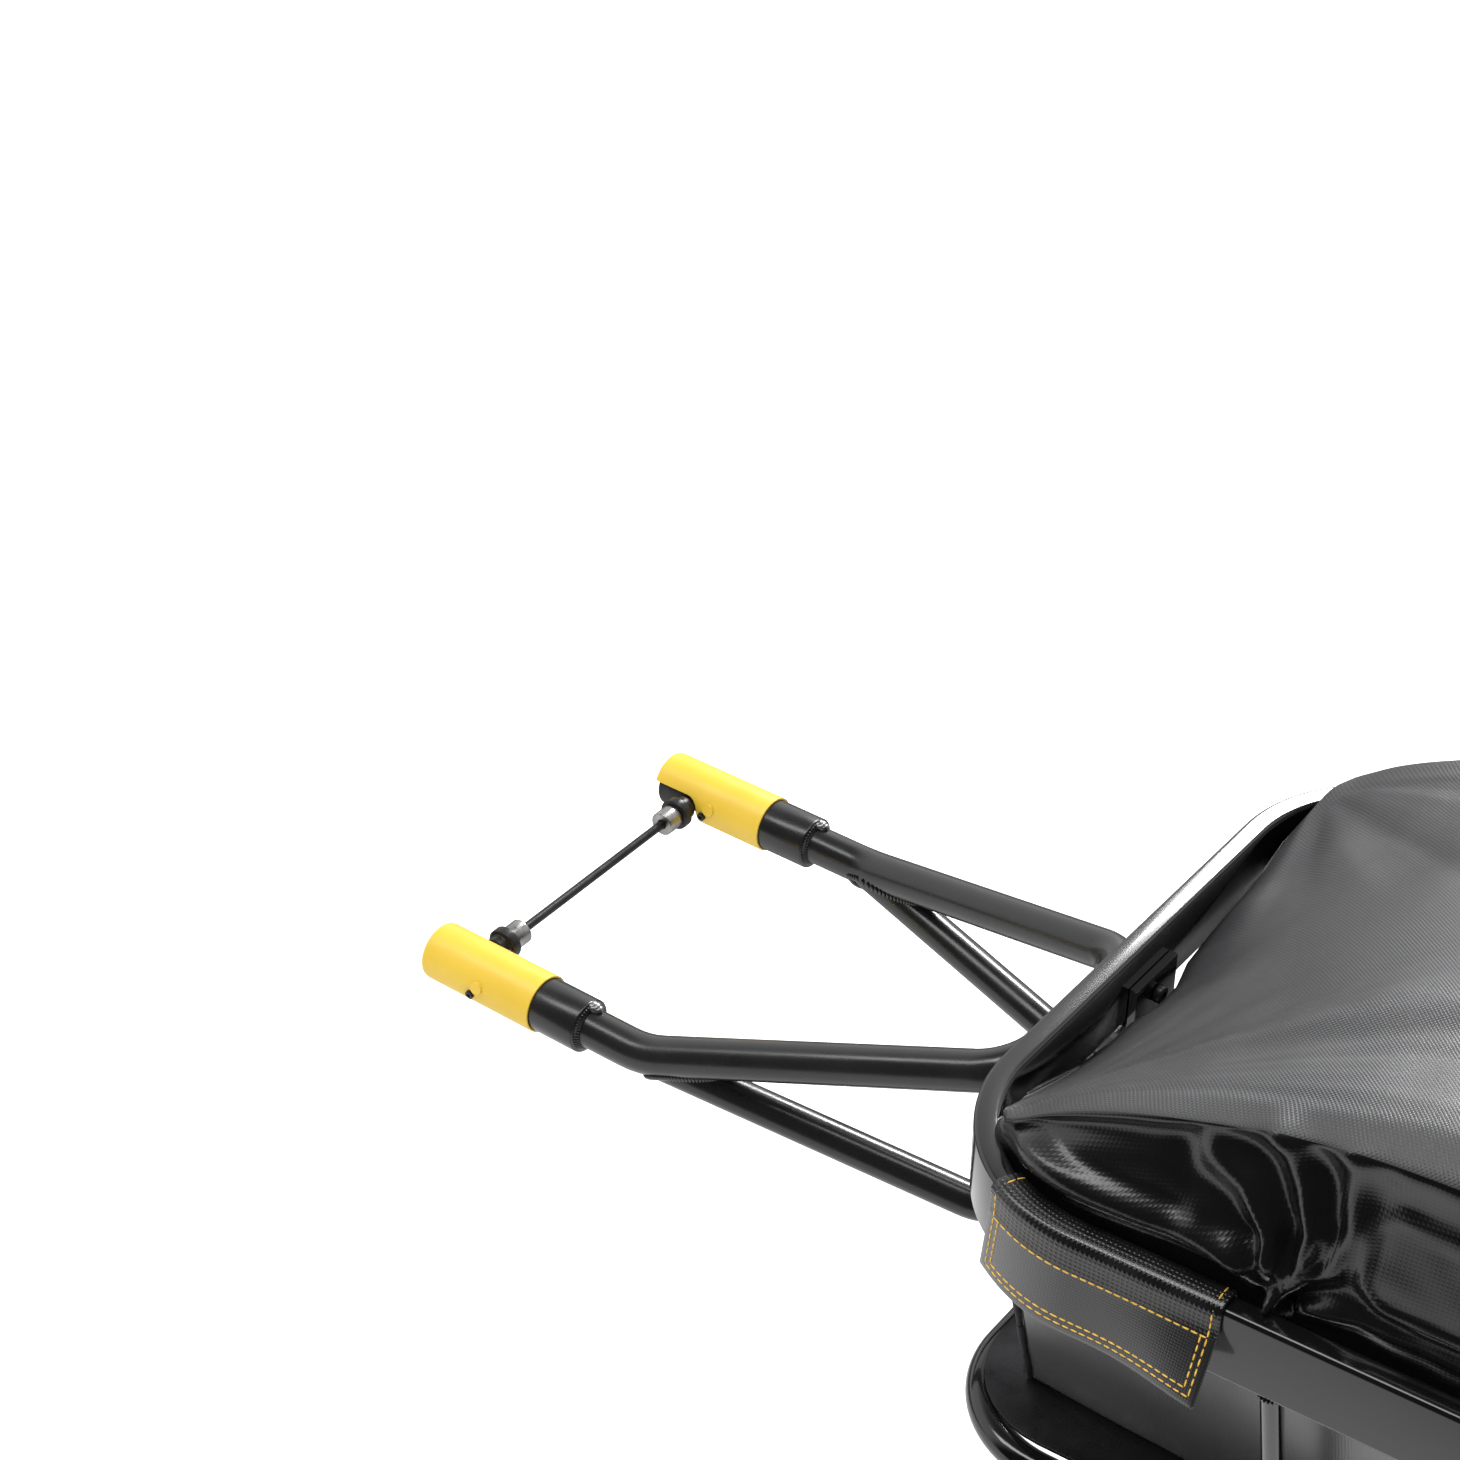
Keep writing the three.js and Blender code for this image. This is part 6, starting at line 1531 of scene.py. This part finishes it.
def addStitches(name, section, lengths, span, side, lean):
    low, high = span
    margin, gap = flap["stitchIn"], flap["stitchGap"]
    total = lengths[-1]
    topEnd = lengths[13] + flap["band"]

    def at(place, down):
        # on the flap's outer face, this far down from its inner edge
        down = max(0, min(total, down))
        i = next((i for i, end in enumerate(lengths[1:]) if down <= end), len(lengths) - 2)
        (out0, z0), (out1, z1) = section[i], section[i + 1]
        t = (down - lengths[i]) / (lengths[i + 1] - lengths[i])
        out, z = mix(out0, out1, t), mix(z0, z1, t)
        lift = Vector((z0 - z1, out1 - out0)).normalized()
        share = (place - low) / (high - low)
        here, past = flapHang(share, out, z, side, lean), flapHang(share, out, z - 0.0005, side, lean)
        if out > 0 and z < flap["hinge"]:
            lift = Vector((here[1] - past[1], past[0] - here[0])).normalized()
        return flapPoint(place, here[0] + lift.x * flap["thick"], here[1] + lift.y * flap["thick"], side)

    lines = []
    for inset in (margin, margin + gap):
        lines.append([(low + inset, topEnd), (low + inset, total - inset), (high - inset, total - inset),
                      (high - inset, topEnd)])
    left, right = low + margin, high - margin
    lines += [[(left, topEnd), (right, topEnd)], [(left, lengths[6]), (left, topEnd)],
              [(right, lengths[6]), (right, topEnd)]]
    bm = bmesh.new()
    pitch = flap["stitchLength"] * 1.35
    for line in lines:
        for (x0, d0), (x1, d1) in zip(line, line[1:]):
            count = max(1, int(math.hypot(x1 - x0, d1 - d0) / pitch))
            for k in range(count):
                t0, t1 = (k + 0.08) / count, (k + 0.92) / count
                start, end = (at(mix(x0, x1, t), mix(d0, d1, t)) for t in (t0, t1))
                run = end - start
                place = Matrix.Translation((start + end) / 2) @ run.to_track_quat("Z", "Y").to_matrix().to_4x4()
                stamp(bm, "stitch", place @ Matrix.Diagonal((flap["thread"], flap["thread"], run.length / 2, 1)))
    return addPiece(name, bm, "goldThread", "basket", sharp=80)


roll = {"radius": 0.0158, "half": 0.145, "turns": 2.3, "start": 2.2, "pack": 0.0135, "cloth": 0.0019, "steps": 90,
        "rows": 48, "sway": 0.0012}


def addRoll():
    low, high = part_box("bag_roll_closure")
    centre = (low + high) / 2
    bm = bmesh.new()
    verts = []
    for k in range(roll["steps"] + 1):
        share = k / roll["steps"]
        turn = roll["turns"] * 2 * math.pi * share - roll["start"]
        reach = roll["radius"] - roll["pack"] * (1 - share) - 0.0008
        spot = (centre.x + reach * math.cos(turn) * 1.04, -roll["half"], centre.z + reach * math.sin(turn) * 0.95)
        verts.append(bm.verts.new(spot))
    ring = [bm.edges.new(pair) for pair in zip(verts, verts[1:])]
    for k in range(roll["rows"]):
        ring = pushRing(bm, ring, (0, 2 * roll["half"] / roll["rows"], 0))
    for v in bm.verts:
        share = (v.co.y + roll["half"]) / (2 * roll["half"])
        sway = roll["sway"] * cloud(v.co.y * 18, v.co.x * 30, v.co.z * 30)
        v.co.x += sway
        v.co.z += sway * 0.7 + 0.0004 * math.sin(share * 40)
    bmesh.ops.recalc_face_normals(bm, faces=bm.faces)
    bmesh.ops.solidify(bm, geom=bm.faces[:], thickness=roll["cloth"])
    uv = bm.loops.layers.uv.new("UVMap")
    for face in bm.faces:
        for loop in face.loops:
            turn = math.atan2(loop.vert.co.z - centre.z, loop.vert.co.x - centre.x)
            loop[uv].uv = (loop.vert.co.y, turn * 0.016)
    piece = addPiece("bagRoll", bm, "glossCloth", "basket", ["bag_roll_closure"], sharp=60)
    print("roll done")


strap = {"places": (-0.098, 0.098), "half": 0.0125, "thick": 0.0016, "from": 0.868, "to": 1.006, "step": 0.004,
         "lift": 0.0008, "overRoll": 0.0022}
clasp = {"place": 0.902, "long": 0.021, "wide": 0.0165, "high": 0.0096, "edge": 0.0032, "slot": (0.0024, 0.0072),
         "slotHalf": 0.003, "prong": (0.003, 0.0066), "prongHalf": 0.0014, "prongIn": 0.0026,
         "tongue": (0.001, 0.0072), "bar": 0.0034, "barHeight": 0.0044}


def strapLine(y):
    # the way of a taut strap over the bag and its roll: places and heights
    tree = BVHTree.FromObject(bpy.data.objects["bagBody"], bpy.context.evaluated_depsgraph_get())
    low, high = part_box("bag_roll_closure")
    centre = (low + high) / 2
    spots = []
    count = round((strap["to"] - strap["from"]) / strap["step"])
    for k in range(count + 1):
        x = mix(strap["from"], strap["to"], k / count)
        hit = max(tree.ray_cast(Vector((x, y + off, 1)), Vector((0, 0, -1)))[0].z for off in (-0.01, 0, 0.01))
        spots.append((x, hit + strap["lift"]))
    reach = roll["radius"] + strap["overRoll"]
    for k in range(25):
        turn = math.pi * k / 24
        spots.append((centre.x + reach * math.cos(turn), centre.z + reach * math.sin(turn)))
    line = []
    for spot in sorted(spots):
        while len(line) > 1 and ((line[-1][0] - line[-2][0]) * (spot[1] - line[-2][1]) -
                                 (line[-1][1] - line[-2][1]) * (spot[0] - line[-2][0])) >= 0:
            line.pop()
        line.append(spot)
    return line


def buckleShape():
    # a side release buckle along x: the case with its slots and prongs, and the tongue with the strap's bar
    long, wide = clasp["long"], clasp["wide"]
    (slotLow, slotHigh), slotHalf = clasp["slot"], clasp["slotHalf"]
    (prongLow, prongHigh), prongHalf = clasp["prong"], clasp["prongHalf"]
    (tongueLow, tongueHigh), height = clasp["tongue"], clasp["barHeight"]
    slots = [newShape(boxShape, (-long * 0.5, y - slotHalf, slotLow), (long * 0.2, y + slotHalf, slotHigh))
             for y in (-wide, wide)]
    bm = carve(roundedBox((-long, -wide, 0), (long * 0.45, wide, clasp["high"]), clasp["edge"], 4), slots)
    for y in (clasp["prongIn"] - wide, wide - clasp["prongIn"]):
        boxShape(bm, (-long * 0.42, y - prongHalf, prongLow), (long * 0.14, y + prongHalf, prongHigh))
    narrow = wide * 0.86
    boxShape(bm, (long * 0.46, -narrow, tongueLow), (long, narrow, tongueHigh))
    rodShape(bm, (long * 0.98, -narrow, height), (long * 0.98, narrow, height), clasp["bar"], 20)
    return bm


def addStrap(y, label):
    line = strapLine(y)
    bm = bmesh.new()
    verts = [bm.verts.new((x, y - strap["half"], z)) for x, z in line]
    edges = [bm.edges.new(pair) for pair in zip(verts, verts[1:])]
    pushRing(bm, edges, (0, 2 * strap["half"], 0))
    bmesh.ops.recalc_face_normals(bm, faces=bm.faces)
    bm.faces.ensure_lookup_table()
    if bm.faces[0].normal.z < 0:
        bmesh.ops.reverse_faces(bm, faces=bm.faces)
    bmesh.ops.solidify(bm, geom=bm.faces[:], thickness=strap["thick"])
    piece = addPiece(f"bagStrap_{label}", bm, "strapWeb", "basket", sharp=40, bevel=0.0003)
    (x0, z0), (x1, z1) = next(pair for pair in zip(line, line[1:]) if pair[1][0] >= clasp["place"])
    slope = math.atan2(z1 - z0, x1 - x0)
    height = mix(z0, z1, (clasp["place"] - x0) / (x1 - x0)) + strap["thick"]
    bm = buckleShape()
    turn = Matrix.Translation((clasp["place"], y, height)) @ Matrix.Rotation(-slope, 4, "Y")
    bmesh.ops.transform(bm, matrix=turn, verts=bm.verts)
    buckle = addPiece(f"bagBuckle_{label}", bm, "guardPlastic", "basket", sharp=30, bevel=0.0005)


finishes = {name: addFinish(name, look) for name, look in looks.items()}
shapes = {"scale": shapeMesh(bmesh.ops.create_uvsphere, u_segments=12, v_segments=7, radius=1),
          "stitch": shapeMesh(bmesh.ops.create_uvsphere, u_segments=8, v_segments=6, radius=1),
          "block": shapeMesh(bmesh.ops.create_cube, size=1)}
addCamera()
addStudio()
addFloor()
for side, label in sides:
    addHitch(side, label)
addHitchAxle()
addYoke()
addSteering()
addRim()
addRails()
addFloorPlate()
addRearEnd()
addTyre()
addWheelRim()
addHub()
addAxle()
addMudguard()
addBag()
for side, label in sides:
    addFlap(f"railFlapFront_{label}", f"rail_flap_front_{label}", flap["front"], side, flap["lean"])
    addFlap(f"railFlapRear_{label}", f"rail_flap_rear_{label}", flap["rear"], side, flap["rearLean"])
addRoll()
for y, label in zip(strap["places"], ("left", "right")):
    addStrap(y, label)
print("straps done")

for shape in shapes.values():
    bpy.data.meshes.remove(shape)
print("pieces done")
